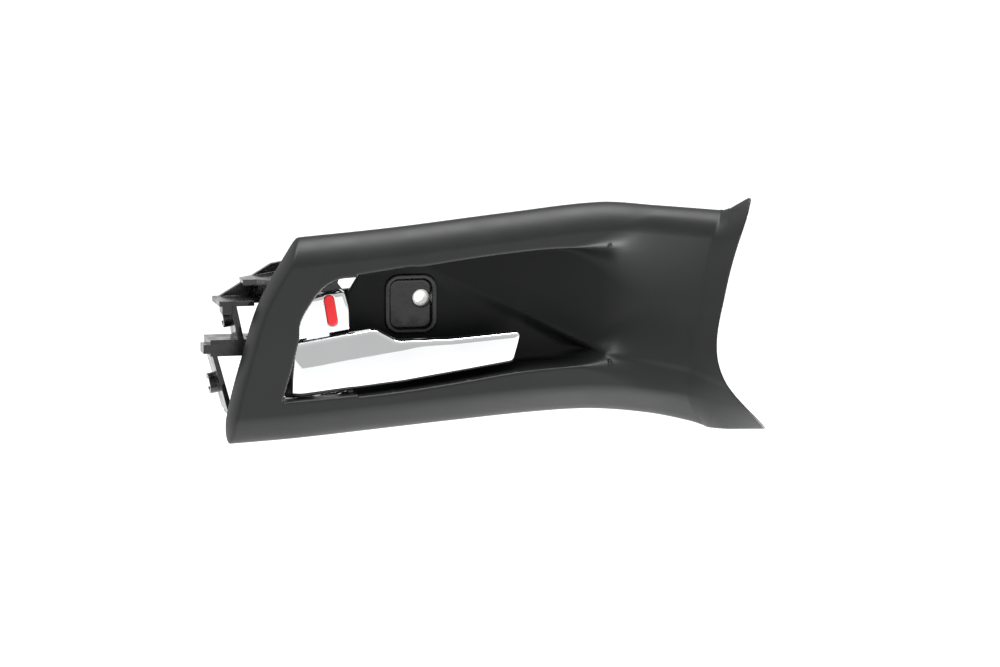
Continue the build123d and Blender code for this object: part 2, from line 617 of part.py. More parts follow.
def make_push_nut():
    """Spring steel ring with a raised rim, pressed on the end of the pin."""
    z = TOP_EAR_Z + EAR_T
    disc = rod_z(PIVOT_X, PIVOT_Y, z, z + NUT_T, NUT_R)
    collar = rod_z(PIVOT_X, PIVOT_Y, z, z + NUT_RIM[1], PIN_R + NUT_RIM[0])
    nut = disc + collar - rod_z(PIVOT_X, PIVOT_Y, z - 1, z + 3, PIN_R)
    for turn in range(3):
        slot = Pos(3.2, 0, 0) * Box(2.0, 1.0, 9)
        nut = nut - Pos(PIVOT_X, PIVOT_Y, z) * Rot(0, 0, 120 * turn) * slot
    return nut


def make_washers():
    washers = []
    middle = (LEVER_TOP_Z + KNOB_BOTTOM_Z) / 2
    for low, high in ((TOP_EAR_Z - WASHER_T, TOP_EAR_Z), (middle - 0.5, middle + 0.5),
                      (BOTTOM_EAR_Z, BOTTOM_EAR_Z + WASHER_T)):
        ring = rod_z(PIVOT_X, PIVOT_Y, low, high, WASHER_R)
        washers.append(ring - rod_z(PIVOT_X, PIVOT_Y, low - 1, high + 1, PIN_R + RUN))
    return group(washers)


def make_spool():
    """Nylon sleeve on the pin that carries the lever and centres the spring."""
    low, high = BOTTOM_EAR_Z + WASHER_T, LEVER_HUB_BOTTOM_Z - GAP
    spool = rod_z(PIVOT_X, PIVOT_Y, low, high, SPOOL_R)
    return spool - rod_z(PIVOT_X, PIVOT_Y, low - 1, high + 1, PIN_R + RUN)


def make_return_spring():
    """Torsion spring round the spool: lower leg on the base, upper leg in the lever."""
    low = BOTTOM_EAR_Z + WASHER_T + WIRE_R + 0.2
    pitch = (LEVER_HUB_BOTTOM_Z - GAP - WIRE_R - 0.4 - low) / COIL_TURNS
    coil = Helix(pitch, pitch * COIL_TURNS, COIL_R)
    coil = Pos(PIVOT_X, PIVOT_Y, low) * coil
    start = coil @ 0
    section = Plane(origin=start, z_dir=coil % 0) * Circle(WIRE_R)
    body = sweep(section, path=coil, is_frenet=True)
    foot = rod_y(start.X, low, start.Y, SPINE_Y[0] - 1, WIRE_R)
    return body + foot


def make_detent_spring():
    """Leaf spring on the top ear, with a rib that clicks into the notches of the knob's hub."""
    y = PIVOT_Y + KNOB_HUB_R + DETENT_R
    z_low = TOP_EAR_Z - LEAF_REACH
    leaf = block((PIVOT_X + LEAF_SPAN[0], PIVOT_X + LEAF_SPAN[1]), (y, y + LEAF_T), (z_low, TOP_EAR_Z))
    foot = block((PIVOT_X + 2, PIVOT_X + LEAF_SPAN[1]), (y, y + LEAF_FOOT), (TOP_EAR_Z - LEAF_T, TOP_EAR_Z))
    rib = rod_z(PIVOT_X, y, z_low, z_low + LEAF_RIB, DETENT_R - 0.2)
    return leaf + foot + rib


# ---- base housing --------------------------------------------------------------------------------

def bracket_plate(points, y_span):
    return polygon_xz(points, *y_span)


def slot_collar(x, z):
    """C-shaped seat for a cable's conduit, open to the back. Returns the solid and its cut."""
    low, high = x - COLLAR_LENGTH, x + STRUT_T
    body = rod_x(CABLE_Y, z, low, high, COLLAR_R)
    cut = rod_x(CABLE_Y, z, low - 1, high + 3, SLOT_R)
    mouth = block((low - 1, high + 3), (CABLE_Y, CABLE_Y + 12), (z - SLOT_MOUTH / 2, z + SLOT_MOUTH / 2))
    return body, cut + mouth


def make_base():
    y_front, y_back = SPINE_Y
    spine = polygon_xz([(-48, BOTTOM_EAR_Z), (-34, BOTTOM_EAR_Z), (-20, -20), (SPINE_END_X, -9),
                        (SPINE_END_X, 8), (-38, 11), (-44, TOP_EAR_Z), (-48, TOP_EAR_Z)], y_front, y_back)
    boss = rod_y(0, 0, 0, y_back, EAR_BOSS_R)
    ribs = [block((SPINE_RIB_X[0], SPINE_END_X - 10), (y_back, y_back + SPINE_RIB_H),
                  (z - SPINE_RIB_T / 2, z + SPINE_RIB_T / 2))
            for z in (-SPINE_RIB_Z, SPINE_RIB_Z)]
    ribs += [block((x, x + SPINE_RIB_T), (y_back, y_back + SPINE_RIB_H), (-SPINE_RIB_Z, SPINE_RIB_Z))
             for x in SPINE_RIB_X]
    ear = [(PIVOT_X - EAR_R, PIVOT_Y - EAR_R), (PIVOT_X + EAR_R, PIVOT_Y - EAR_R),
           (PIVOT_X + 12, -6), (-44, y_front), (-44, WEB_Y[1]), (-87, WEB_Y[1]), (-87, 0),
           (PIVOT_X - 12, -6)]
    top_ear = polygon_xy(ear, TOP_EAR_Z, TOP_EAR_Z + EAR_T)
    low_ear = [(x if x > -80 else x - 18, y) for x, y in ear]
    low_ear = [(-105.5, y) if x < -100 else (x, y) for x, y in low_ear]
    bottom_ear = polygon_xy(low_ear, BOTTOM_EAR_Z - EAR_T, BOTTOM_EAR_Z)
    hood = block(HOOD_X, HOOD_Y, (HOOD_LOW_Z, TOP_EAR_Z + EAR_T))
    pieces = [spine, boss] + ribs + [top_ear, bottom_ear, hood]
    rest = block((PIVOT_X - ARM_W / 2 - BUMPER_T - REST_T, PIVOT_X - ARM_W / 2 - BUMPER_T),
                 (-2, 4), (BOTTOM_EAR_Z, LATCH_ARM_Z + ARM_T / 2))
    stop = block((STOP_X + STOP_BUMPER_T, STOP_X + STOP_BUMPER_T + STOP_T), (y_front - 4, y_back),
                 (LATCH_ARM_Z - 3, LATCH_ARM_Z + 3))
    pieces += [rest, stop]
    # lugs for the case screws
    for x, z in BOSSES:
        lx, lz = to_local(x, z)
        pieces.append(rod_y(lx, lz, y_front, y_back, BOSS_R + LUG_WALL))
    lx, lz = to_local(*BOSSES[0])
    pieces.append(polygon_xz([(lx - 5, lz), (lx + 5, lz), (-41, 12), (-48, 12)], y_front, y_back))
    lx, lz = to_local(*BOSSES[1])
    pieces.append(polygon_xz([(lx - 5, lz), (lx + 5, lz), (-30, -18), (-44, -30)], y_front, y_back))
    lx, lz = to_local(*BOSSES[2])
    pieces.append(polygon_xz([(lx - 5.5, lz), (lx + 5.5, lz), (lx + 6, BOTTOM_EAR_Z),
                              (lx - 6, BOTTOM_EAR_Z)], y_front, y_back))
    base = tilted(joined(pieces))
    for x, z in BOSSES:
        base = base - rod_y(x, z, y_front - 1, y_back + 1, CASE_SCREW_R + SCREW_RUN)
    base = base - tilted(rod_z(PIVOT_X, PIVOT_Y, -50, 40, PIN_R + RUN))
    return base - rod_y(0, 0, -1, y_back + 1, SLEEVE_R)


def make_base_and_bracket():
    """The base housing, and the open frame behind the left end that holds the cables."""
    base = make_base()
    bracket = joined(bracket_pieces())
    for collar, cut in conduit_seats():
        bracket = bracket + collar - cut
    frame, *corners = sorted((bracket - base).solids(), key=lambda solid: -solid.volume)
    return joined([base] + corners), frame


def conduit_seats():
    seats = []
    for plate_x, z in ((LOCK_SEAT_X, LOCK_ARM_Z), (LATCH_SEAT_X, LATCH_ARM_Z)):
        collar, cut = slot_collar(plate_x, z)
        seats.append((tilted(collar), tilted(cut)))
    return seats


def bracket_pieces():
    """Open frame behind the left end, in the row frame: shelf, bar, struts and gusset."""
    front, back = BRACKET_Y
    shelf = [block((-103.5, -86), (front - 2, back), (-0.4, -0.4 + SHELF_T)),
             block((-87, -76), (WEB_Y[0] - 9, back), (-0.4, -0.4 + SHELF_T))]
    bar = [block((-107.8, -88.5), (front, back), (-25.4, -17.2)),
           block((-111.3, -107), (front, 0), (-24.0, -19.5)),
           block((-90, -78), (1, back), (-25.4, -17.2))]
    upper = bracket_plate([(-97.9, 1), (-94.9, 1), (-90.4, -20), (-93.4, -20)], (front, back))
    lower = bracket_plate([(-107.2, -24), (-104.7, -24), (-96.6, -53.5), (-99.2, -53.5)], (front, back))
    gusset = bracket_plate([(-101.5, 1.5), (-74, 18), (-50, 22), (-50, 2), (-70, 0)], WEB_Y)
    lip = block((-102, -97), (front - 2, front + 4), (-4.5, 1))
    return shelf + bar + [upper, lower, gusset, lip]


def make_sleeve():
    sleeve = rod_y(0, 0, 0, SLEEVE_LENGTH, SLEEVE_R)
    return sleeve - rod_y(0, 0, -1, SLEEVE_LENGTH + 1, SLEEVE_BORE_R)


def make_rest_bumper():
    x = PIVOT_X - ARM_W / 2 - GAP
    return block((x - BUMPER_T + GAP, x), (-1.5, 3.5), (LATCH_ARM_Z - 1.8, LATCH_ARM_Z + 1.8))


def make_stop_bumper():
    return block((STOP_X, STOP_X + STOP_BUMPER_T), (-2.5, 3.5), (LATCH_ARM_Z - 2.5, LATCH_ARM_Z + 2.5))


# ---- fixings ---------------------------------------------------------------------------------------

def make_case_screws():
    screws = []
    for x, z in BOSSES:
        seat = SPINE_Y[1]
        shank = rod_y(x, z, seat - CASE_SCREW_LENGTH, seat, BOSS_PILOT_R)
        head = rod_y(x, z, seat, seat + CASE_SCREW_HEAD_T, CASE_SCREW_HEAD_R)
        middle = Pos(x, seat + 1.3, z) * Rot(90, 0, 0)
        recess = middle * Box(*CROSS)
        cross = middle * Box(CROSS[1], CROSS[0], CROSS[2])
        screws.append(shank + head - recess - cross)
    return group(screws)


def make_panel_clips():
    """U-shaped spring clips pushed over the bezel's towers."""
    clips = []
    for x, z in CLIP_TOWERS:
        half = TOWER_Z / 2
        y_low, y_high = TOWER_END_Y - CLIP_LENGTH, TOWER_END_Y
        span = (x - TOWER_X / 2 + 1, x + TOWER_X / 2 - 1)
        legs = [block(span, (y_low, y_high), (z + half, z + half + CLIP_SHEET)),
                block(span, (y_low, y_high), (z - half - CLIP_SHEET, z - half))]
        bridge = block(span, (y_high, y_high + CLIP_SHEET),
                       (z - half - CLIP_SHEET, z + half + CLIP_SHEET))
        barb = [(y_high - 1, half + CLIP_SHEET - 0.1), (y_high - 5, half + BARB_REACH),
                (y_high - 5.6, half + BARB_REACH), (y_high - 7.5, half + CLIP_SHEET - 0.1)]
        barbs = []
        for sign in (1, -1):
            corners = [Vector(x - BARB_W / 2, y, z + sign * dz) for y, dz in barb]
            face = Face(Wire(Polyline(*corners, close=True).edges()))
            barbs.append(Solid.extrude(face, (BARB_W, 0, 0)))
        clips.append(joined(legs + [bridge] + barbs))
    return group(clips)


def make_foam_pads():
    """Anti-rattle pads on the back of the recess floor."""
    back = FLOOR_Y + WALL
    return group([block((x, x + PAD_SIZE[0]), (back, back + PAD_T), (z, z + PAD_SIZE[1]))
                  for x, z in PADS])


def main():
    os.makedirs("parts", exist_ok=True)
    save("bezel", make_bezel())
    base, bracket = make_base_and_bracket()
    save("base_housing", base)
    save("cable_bracket", bracket)
    save("screw_cup", make_screw_cup())
    save("screw_sleeve", make_sleeve())
    save("pull_lever", tilted(make_pull_lever()))
    save("lever_core", tilted(make_lever_core()))
    save("latch_cable_bush", tilted(make_bush(LATCH_ARM_Z)))
    save("lock_knob", tilted(make_lock_knob()))
    save("unlock_mark", tilted(mark(0)))
    save("lock_cable_bush", tilted(make_bush(LOCK_ARM_Z)))
    save("pivot_pin", tilted(make_pin()))
    save("pin_push_nut", tilted(make_push_nut()))
    save("thrust_washers", tilted(make_washers()))
    save("spring_spool", tilted(make_spool()))
    save("lever_return_spring", tilted(make_return_spring()))
    save("lock_detent_spring", tilted(make_detent_spring()))
    save("lever_rest_bumper", tilted(make_rest_bumper()))
    save("lever_stop_bumper", tilted(make_stop_bumper()))
    save("case_screws", make_case_screws())
    save("panel_clips", make_panel_clips())
    save("anti_rattle_pads", make_foam_pads())


main()
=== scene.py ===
import json
import math

import bpy
import numpy as np
from mathutils import Matrix, Vector


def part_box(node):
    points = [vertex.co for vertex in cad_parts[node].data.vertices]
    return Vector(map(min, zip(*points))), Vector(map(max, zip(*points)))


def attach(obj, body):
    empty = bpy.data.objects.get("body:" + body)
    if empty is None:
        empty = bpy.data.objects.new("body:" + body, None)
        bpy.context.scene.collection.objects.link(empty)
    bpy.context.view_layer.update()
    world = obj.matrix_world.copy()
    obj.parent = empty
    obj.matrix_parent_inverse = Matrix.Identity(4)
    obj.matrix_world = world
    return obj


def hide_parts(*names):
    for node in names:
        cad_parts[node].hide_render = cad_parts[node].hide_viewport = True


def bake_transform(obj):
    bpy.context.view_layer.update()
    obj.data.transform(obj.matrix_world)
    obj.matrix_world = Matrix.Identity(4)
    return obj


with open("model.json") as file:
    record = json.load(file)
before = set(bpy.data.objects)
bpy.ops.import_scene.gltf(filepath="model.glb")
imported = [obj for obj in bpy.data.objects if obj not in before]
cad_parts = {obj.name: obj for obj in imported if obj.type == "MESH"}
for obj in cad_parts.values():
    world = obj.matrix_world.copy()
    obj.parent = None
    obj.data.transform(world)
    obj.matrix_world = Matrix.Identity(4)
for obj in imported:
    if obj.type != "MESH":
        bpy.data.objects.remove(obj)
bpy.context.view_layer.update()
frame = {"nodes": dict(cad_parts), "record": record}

# The object is written in millimetres, and its meshes are scaled to metres when they are made.
# The floor, the lights and the camera are written in metres.
MM = 0.001
FAR = 400.0              # outside everything

# ---- sizes shared with the CAD model ---------------------------------------------------------
WALL = 2.5
FACE_Y = -34.0
RIM_Y = -22.0
EDGE_ROLL = 14.0
END_ROLL = 4.0
TIP_RISE = 6.0
FLANGE_RISE = 10.0
TOP_EDGE = [(-67.1, 34.8), (-20.0, 38.5), (41.0, 44.8), (87.0, 48.8), (116.0, 46.4), (149.6, 43.1)]
BOTTOM_EDGE = [(-104.0, -67.9), (-66.0, -65.8), (10.6, -59.5), (56.6, -56.2), (84.0, -55.8),
               (112.0, -58.9), (133.2, -63.7), (142.4, -67.0)]
LEFT_EDGE = [(-104.0, -67.9), (-101.6, -51.0), (-94.2, -23.5), (-85.5, 3.0), (-67.1, 34.8)]
FLANGE_ROOT = [(142.4, -67.0), (130.7, -50.0), (133.0, -30.0), (137.3, -1.0), (141.9, 26.5),
               (149.6, 43.1)]
FLANGE_RIM = [(169.8, -66.7), (148.5, -43.7), (143.4, -27.0), (147.5, 0.8), (154.1, 28.9),
              (161.5, 51.0)]
OPENING_TOP = [(-38.6, 15.2), (-2.4, 20.1), (33.6, 24.6), (67.8, 26.9), (128.0, 24.0)]
OPENING_BOTTOM = [(-75.6, -45.9), (-45.7, -43.9), (-15.5, -41.2), (15.7, -37.2), (45.3, -33.0),
                  (77.0, -30.6), (128.0, -24.0)]
OPENING_LEFT = [(-75.6, -45.9), (-67.3, -15.5), (-66.6, -7.5), (-63.6, -1.0), (-55.9, 9.4),
                (-47.5, 14.3), (-38.6, 15.2)]
FLOOR_Y = -6.0
RAMP_FOOT_X = 52.0
RAMP_TOP_X = 132.0
RAMP_TOP_Y = -36.0
SCOOP_SLOPE = 0.15
FLOOR_LEFT_X = -38.0
SHIELD_BACK_Y = -23.0
POCKET_X = (-16.2, 4.8)
POCKET_Z = (-15.0, 9.7)
POCKET_FLOOR_Y = -2.5
POCKET_R = 4.5
SCREW_HOLE_R = 4.25
BOSSES = [(-42.0, 27.0), (-36.0, -53.5), (-87.5, -45.0)]
BOSS_R = 4.0
BOSS_PILOT_R = 1.3
BOSS_END_Y = 1.0
CLIP_TOWERS = [(66.0, 37.0), (112.0, 36.0), (66.0, -44.0), (112.0, -46.5)]
TOWER_SIZE = (9.0, 3.0)
TOWER_END_Y = -6.0
BEZEL_RIBS = [-20.0, 18.0, 42.0, 90.0]
RIB = 1.6
TILT = 9.0
PIVOT_X = -69.0
PIVOT_Y = -16.0
PIN_R = 2.5
RUN = 0.05
DRUM_R = 13.5
COVER_T = 1.8
COVER_SKIRT = 5.5
LEVER_END_X = 43.6
LEVER_TOP_Z = -6.4
LEVER_BOTTOM = [(-84.0, -33.2), (-50.0, -34.6), (-20.0, -36.2), (36.9, -36.7)]
LEVER_HUMP = [(-29.5, -6.4), (-19.5, -14.3), (8.0, -18.3)]
LEVER_TIP_Z = -21.3
DRUM_SWEEP = 60.0
KNOB_BOTTOM_Z = -4.8
KNOB_TOP_Z = 15.2
KNOB_END_X = -40.6
KNOB_DEPTH = 7.0
KNOB_HUB_R = 6.0
KNOB_HUB_TOP_Z = 20.7
KNOB_SWEEP = 30.0
KNOB_TRAVEL = 18.0
ARM_REACH = 22.0
ARM_W = 8.0
ARM_T = 4.0
LOCK_ARM_Z = 7.5
BUSH_R = 2.6
MARK_W = 5.2
MARK_H = 15.8
MARK_X = -50.3
MARK_Z = 6.7
MARK_T = 0.5
DETENT_R = 1.2
TOP_EAR_Z = 22.0
WIRE_R = 0.6
COIL_R = 5.6
COIL_TURNS = 4.5
COIL_LOW_Z = -35.2
COIL_HIGH_Z = -27.6
SPINE_FRONT_Y = 1.0

# ---- sizes of the finish ---------------------------------------------------------------------
BEZEL_STEP = 0.62      # spacing of the mesh on the bezel
CHROME_STEP = 0.4
LIP_R = 1.1               # radius of the recess opening's edge
LIP_FADE_X = (68.0, 118.0)   # the edge softens between these two places
SOFT_R = 18.0             # and ends this soft
CORNER_R = 3.0            # between the recess's walls and its floor
SOFT_CORNER_R = 18.0
WALL_DRAFT = 0.045
RAMP_DRAFT = 0.75         # how far the walls lean at the end of the ramp
CREST_HEIGHT = 1.5        # of the ridge between the ramp and the finger scoop
CREST_WIDTH = 7.0
CREST_X = (52.0, 104.0)   # ends of that ridge
CREST_FADE = 16.0
CREST_SHIFT = 2.0         # of its top from the ridge line
RIDGE_X = 53.2            # a point of the ridge line, and its fall per millimetre
RIDGE_Z = -12.2
RIDGE_FALL = 0.485
RIDGE_LEAN = 0.9          # distance across the ridge line, or a slope, for one unit beside it
RAMP_LEAN = 0.936
SCOOP_LEAN = 0.989
RAMP_BEND = 160.0         # how softly the ramp leaves the floor, in square millimetres
SCOOP_CORNER_R = 2.0
SCOOP_FLOOR_R = 5.0
SCOOP_EDGE_R = 4.0
FLANGE_START = 1.0        # the flange starts to rise this far left of its root
FLANGE_BEND = 1.15        # 1 is a straight rise
FLANGE_FLATTEN = 0.45     # how much of the edge roll the flange loses
FLANGE_SETTLE = 0.35      # share of its width where that is complete
CORNER_POWERS = (2.0, 7.0)   # shape of the lower and upper left corners; 2 is a circle
CORNER_Z = (-20.0, 20.0)  # the shape changes between these two heights
BAY_CORNER = (-37.7, 4.0) # x and z of the cut corner of the hub bay
BAY_SLOPE = 1.6
BAY_LEAN = 0.53
BAY_GAP = 0.3
SHIELD_REACH = 1.5        # of the gap's shield beyond the opening's lower left corner
FACE_LIP = 0.6            # thickness of the face in front of the lever relief
RELIEF_SLOPE = 1.1
RELIEF_END_X = -62.0
RELIEF_FLOOR = 1.5        # the relief ends this far above the opening's lower edge
RIB_INSET = 1.5           # of a rib from the rim
RIB_GAP = 0.6             # and from the opening
POST_INSET = 1.2          # of a post under the front skin
PADS = ((16, 4), (34, 8), (22, -20))    # lower left corners of the foam pads
PAD_SIZE = (14, 10)
LEVER_RADII = [0.5, 60, 60, 3.5, 2.5, 20, 9, 7, 0.5]    # of the outline's corners
KNOB_RADII = [0.5, 1.5, 20, 2.5, 0.5]
KNOB_BEND_Z = 6.0         # where the knob's right edge bends
KNOB_LEAN = (1.4, 1.0)    # how far that edge leans back at the bottom and the top
LEVER_CROWN = 0.0032      # fall of the face towards its edges, per square millimetre
TIP_CROWN = 0.00012       # and towards the free end
TIP_CROWN_X = -5
KNOB_CROWN = 0.0022
LEVER_EDGE_R = 3.2
KNOB_EDGE_R = 2.6
MARK_GAP = 0.12           # between the bar and its seat
CUP_STEP = 0.41
MARK_STEP = 0.22
PAD_STEP = 0.4
COIL_POINTS = 216
LEG_POINTS = 12
WIRE_SIDES = 12
FRONT_LIGHT = 0.60        # brightness of the studio in front of the handle, 1 behind it
ROLL_POWER = 1.6          # between a flat chamfer, 1, and a quarter round, 2


# ---- curves ----------------------------------------------------------------------------------

def curve(points, t):
    """Point at the share t of a smooth curve through the given points."""
    count = len(points) - 1
    lengths = [math.dist(points[i], points[i + 1]) for i in range(count)]
    knots = [0.0]
    for length in lengths:
        knots.append(knots[-1] + length / sum(lengths))
    span = max(i for i in range(count) if knots[i] <= t + 1e-9)
    h = knots[span + 1] - knots[span]
    s = (t - knots[span]) / h

    def slope(i, axis):
        low, high = max(i - 1, 0), min(i + 1, count)
        return (points[high][axis] - points[low][axis]) / (knots[high] - knots[low])

    return tuple(
        (2 * s**3 - 3 * s**2 + 1) * points[span][axis]
        + (s**3 - 2 * s**2 + s) * h * slope(span, axis)
        + (3 * s**2 - 2 * s**3) * points[span + 1][axis]
        + (s**3 - s**2) * h * slope(span + 1, axis)
        for axis in (0, 1)
    )


class Graph:
    """A curve read as height over its first coordinate, straight beyond both ends."""

    def __init__(self, points, before=None, after=None, swapped=False):
        line = [curve(points, i / 160) for i in range(161)]
        line = ([before] if before else []) + line + ([after] if after else [])
        if swapped:
            line = [(z, x) for x, z in line]
        self.x = np.array([p[0] for p in line], dtype=np.float64)
        self.y = np.array([p[1] for p in line], dtype=np.float64)
        self.slope = np.gradient(self.y, self.x)

    def at(self, x):
        return np.interp(x, self.x, self.y)

    def lean(self, x):
        """Distance across the curve for one unit along the second axis."""
        return 1 / np.sqrt(1 + np.interp(x, self.x, self.slope) ** 2)


TOP = Graph(TOP_EDGE, before=(-130.0, 29.9), after=(163.0, 52.0))
BOTTOM = Graph(BOTTOM_EDGE, before=(-130.0, -69.3), after=(175.0, -66.7))
LEFT = Graph(LEFT_EDGE, before=(-106.0, -85.0), after=(-50.0, 64.0), swapped=True)
ROOT = Graph(FLANGE_ROOT, before=(150.0, -80.0), after=(151.5, 55.0), swapped=True)
RIM = Graph(FLANGE_RIM, before=(182.0, -80.0), after=(164.0, 58.0), swapped=True)
MOUTH_BOTTOM = Graph(OPENING_BOTTOM, before=(-130.0, -50.0), after=(190.0, -16.0))


class Outline:
    """Signed distance to a closed outline in the XZ plane, negative inside, from a table."""

    def __init__(self, corners, step=0.5, margin=12.0):
        points = np.array(corners, dtype=np.float64)
        self.low = points.min(axis=0) - margin
        self.step = step
        size = np.ceil((points.max(axis=0) + margin - self.low) / step).astype(int) + 1
        x = self.low[0] + step * np.arange(size[0])
        z = self.low[1] + step * np.arange(size[1])
        gx, gz = np.meshgrid(x, z, indexing="ij")
        nearest = np.full(gx.shape, 1e9)
        inside = np.zeros(gx.shape, dtype=bool)
        for (ax, az), (bx, bz) in zip(points, np.roll(points, -1, axis=0)):
            dx, dz = bx - ax, bz - az
            length = dx * dx + dz * dz
            if length < 1e-9:
                continue
            t = np.clip(((gx - ax) * dx + (gz - az) * dz) / length, 0, 1)
            nearest = np.minimum(nearest, (gx - ax - t * dx) ** 2 + (gz - az - t * dz) ** 2)
            if dz:
                crosses = (az > gz) != (bz > gz)
                inside ^= crosses & (gx < ax + (gz - az) * dx / dz)
        self.table = np.sqrt(nearest) * np.where(inside, -1, 1)

    def at(self, x, z):
        size = self.table.shape
        u = np.clip((x - self.low[0]) / self.step, 0, size[0] - 1.001)
        v = np.clip((z - self.low[1]) / self.step, 0, size[1] - 1.001)
        i, j = u.astype(np.int32), v.astype(np.int32)
        u, v = u - i, v - j
        t = self.table
        low = t[i, j] * (1 - u) + t[i + 1, j] * u
        high = t[i, j + 1] * (1 - u) + t[i + 1, j + 1] * u
        return low * (1 - v) + high * v


def rounded_corners(points, radii, steps=8):
    """Closed polygon with each corner replaced by an arc of its radius."""
    out = []
    count = len(points)
    for i in range(count):
        p = Vector(points[i])
        a = (Vector(points[i - 1]) - p).normalized()
        b = (Vector(points[(i + 1) % count]) - p).normalized()
        half = math.acos(max(-1.0, min(1.0, a.dot(b)))) / 2
        reach = radii[i] / math.tan(half)
        centre = p + (a + b).normalized() * (radii[i] / math.sin(half))
        start, end = p + a * reach - centre, p + b * reach - centre
        turn = start.angle_signed(end)
        for k in range(steps + 1):
            c, s = math.cos(-turn * k / steps), math.sin(-turn * k / steps)
            out.append((centre.x + start.x * c - start.y * s, centre.y + start.x * s + start.y * c))
    return out


MOUTH = Outline([curve(OPENING_LEFT, i / 40) for i in range(41)]
                + [curve(OPENING_TOP, i / 40) for i in range(1, 41)]
                + [(200.0, 22.0), (200.0, -18.0)]
                + [curve(OPENING_BOTTOM, 1 - i / 40) for i in range(40)], margin=60.0)


# ---- solid shapes as signed distance ---------------------------------------------------------

def soft_max(a, b, width):
    """max(a, b) with the corner between them rounded over `width`."""
    gap = np.maximum(width - np.abs(a - b), 0.0) / width
    return np.maximum(a, b) + gap * gap * width * 0.25


def soft_min(a, b, width):
    return -soft_max(-a, -b, width)


def bar(u, low, high):
    """Distance outside the slab between low and high."""
    return np.maximum(low - u, u - high)


def box_field(x, y, z, spans, width=0.6):
    parts = [bar(v, *span) for v, span in zip((x, y, z), spans)]
    return soft_max(soft_max(parts[0], parts[1], width), parts[2], width)


def rod_field(a, b, centre, radius):
    return np.hypot(a - centre[0], b - centre[1]) - radius


def rounded_bar(u, v, half_u, half_v, radius):
    """Distance to a rounded rectangle about the origin."""
    a, b = np.abs(u) - half_u + radius, np.abs(v) - half_v + radius
    return np.hypot(np.maximum(a, 0), np.maximum(b, 0)) + np.minimum(np.maximum(a, b), 0) - radius


def surface(field, low, high, step):
    """Corners and quads of the surface where field(x, y, z) = 0; the field is negative inside."""
    axes = [np.arange(a, b + step, step) for a, b in zip(low, high)]
    values = np.empty([len(a) for a in axes], dtype=np.float32)
    for start in range(0, len(axes[0]), 24):
        part = slice(start, start + 24)
        grid = np.meshgrid(axes[0][part], axes[1], axes[2], indexing="ij")
        values[part] = field(*grid)
    inside = values < 0
    shape = np.array(values.shape)
    keys, points, flips = [], [], []
    for axis in range(3):
        first = [slice(None)] * 3
        second = [slice(None)] * 3
        first[axis], second[axis] = slice(0, -1), slice(1, None)
        edge = np.argwhere(inside[tuple(first)] != inside[tuple(second)])
        u, w = (axis + 1) % 3, (axis + 2) % 3
        kept = (edge[:, u] > 0) & (edge[:, w] > 0)
        kept &= (edge[:, u] < shape[u] - 1) & (edge[:, w] < shape[w] - 1)
        edge = edge[kept]
        step_on = np.eye(3, dtype=int)
        v0 = values[tuple(edge.T)]
        v1 = values[tuple((edge + step_on[axis]).T)]
        place = edge + step_on[axis] * (v0 / (v0 - v1))[:, None]
        cells = [edge, edge - step_on[u], edge - step_on[u] - step_on[w], edge - step_on[w]]
        keys.append(np.stack([np.ravel_multi_index(tuple(c.T), shape) for c in cells], axis=1))
        points.append(place)
        flips.append(v0 > 0)
    keys, points, flips = np.concatenate(keys), np.concatenate(points), np.concatenate(flips)
    cells, quads = np.unique(keys, return_inverse=True)
    quads = quads.reshape(keys.shape)
    corners = np.zeros((len(cells), 3))
    count = np.bincount(quads.ravel(), minlength=len(cells))
    for axis in range(3):
        weight = np.repeat(points[:, axis], 4)
        corners[:, axis] = np.bincount(quads.ravel(), weights=weight, minlength=len(cells)) / count
    corners = corners * step + np.array([a[0] for a in axes])
    quads[flips] = quads[flips][:, ::-1]
    for _ in range(3):
        corners -= np.clip(towards(field, corners), -step, step) * 0.8
    return corners, quads


def slopes(field, p, reach=0.04):
    out = np.empty_like(p)
    for axis in range(3):
        shift = np.zeros(3)
        shift[axis] = reach
        out[:, axis] = (field(*(p + shift).T) - field(*(p - shift).T)) / (2 * reach)
    return out


def towards(field, p):
    """Step from the surface to each point, by the field's value and slope."""
    g = slopes(field, p)
    return g * (field(*p.T) / np.maximum((g * g).sum(axis=1), 0.05))[:, None]


def tilt_matrix():
    return Matrix.Rotation(-math.radians(TILT), 4, "Y")


def make_piece(name, corners, quads, material, local=False):
    mesh = bpy.data.meshes.new(name)
    mesh.from_pydata((corners * MM).tolist(), [], quads.tolist())
    if local:
        mesh.transform(tilt_matrix())
    mesh.polygons.foreach_set("use_smooth", [True] * len(mesh.polygons))
    mesh.materials.append(material)
    mesh.update()
    piece = bpy.data.objects.new(name, mesh)
    bpy.context.scene.collection.objects.link(piece)
    return piece


# ---- materials -------------------------------------------------------------------------------

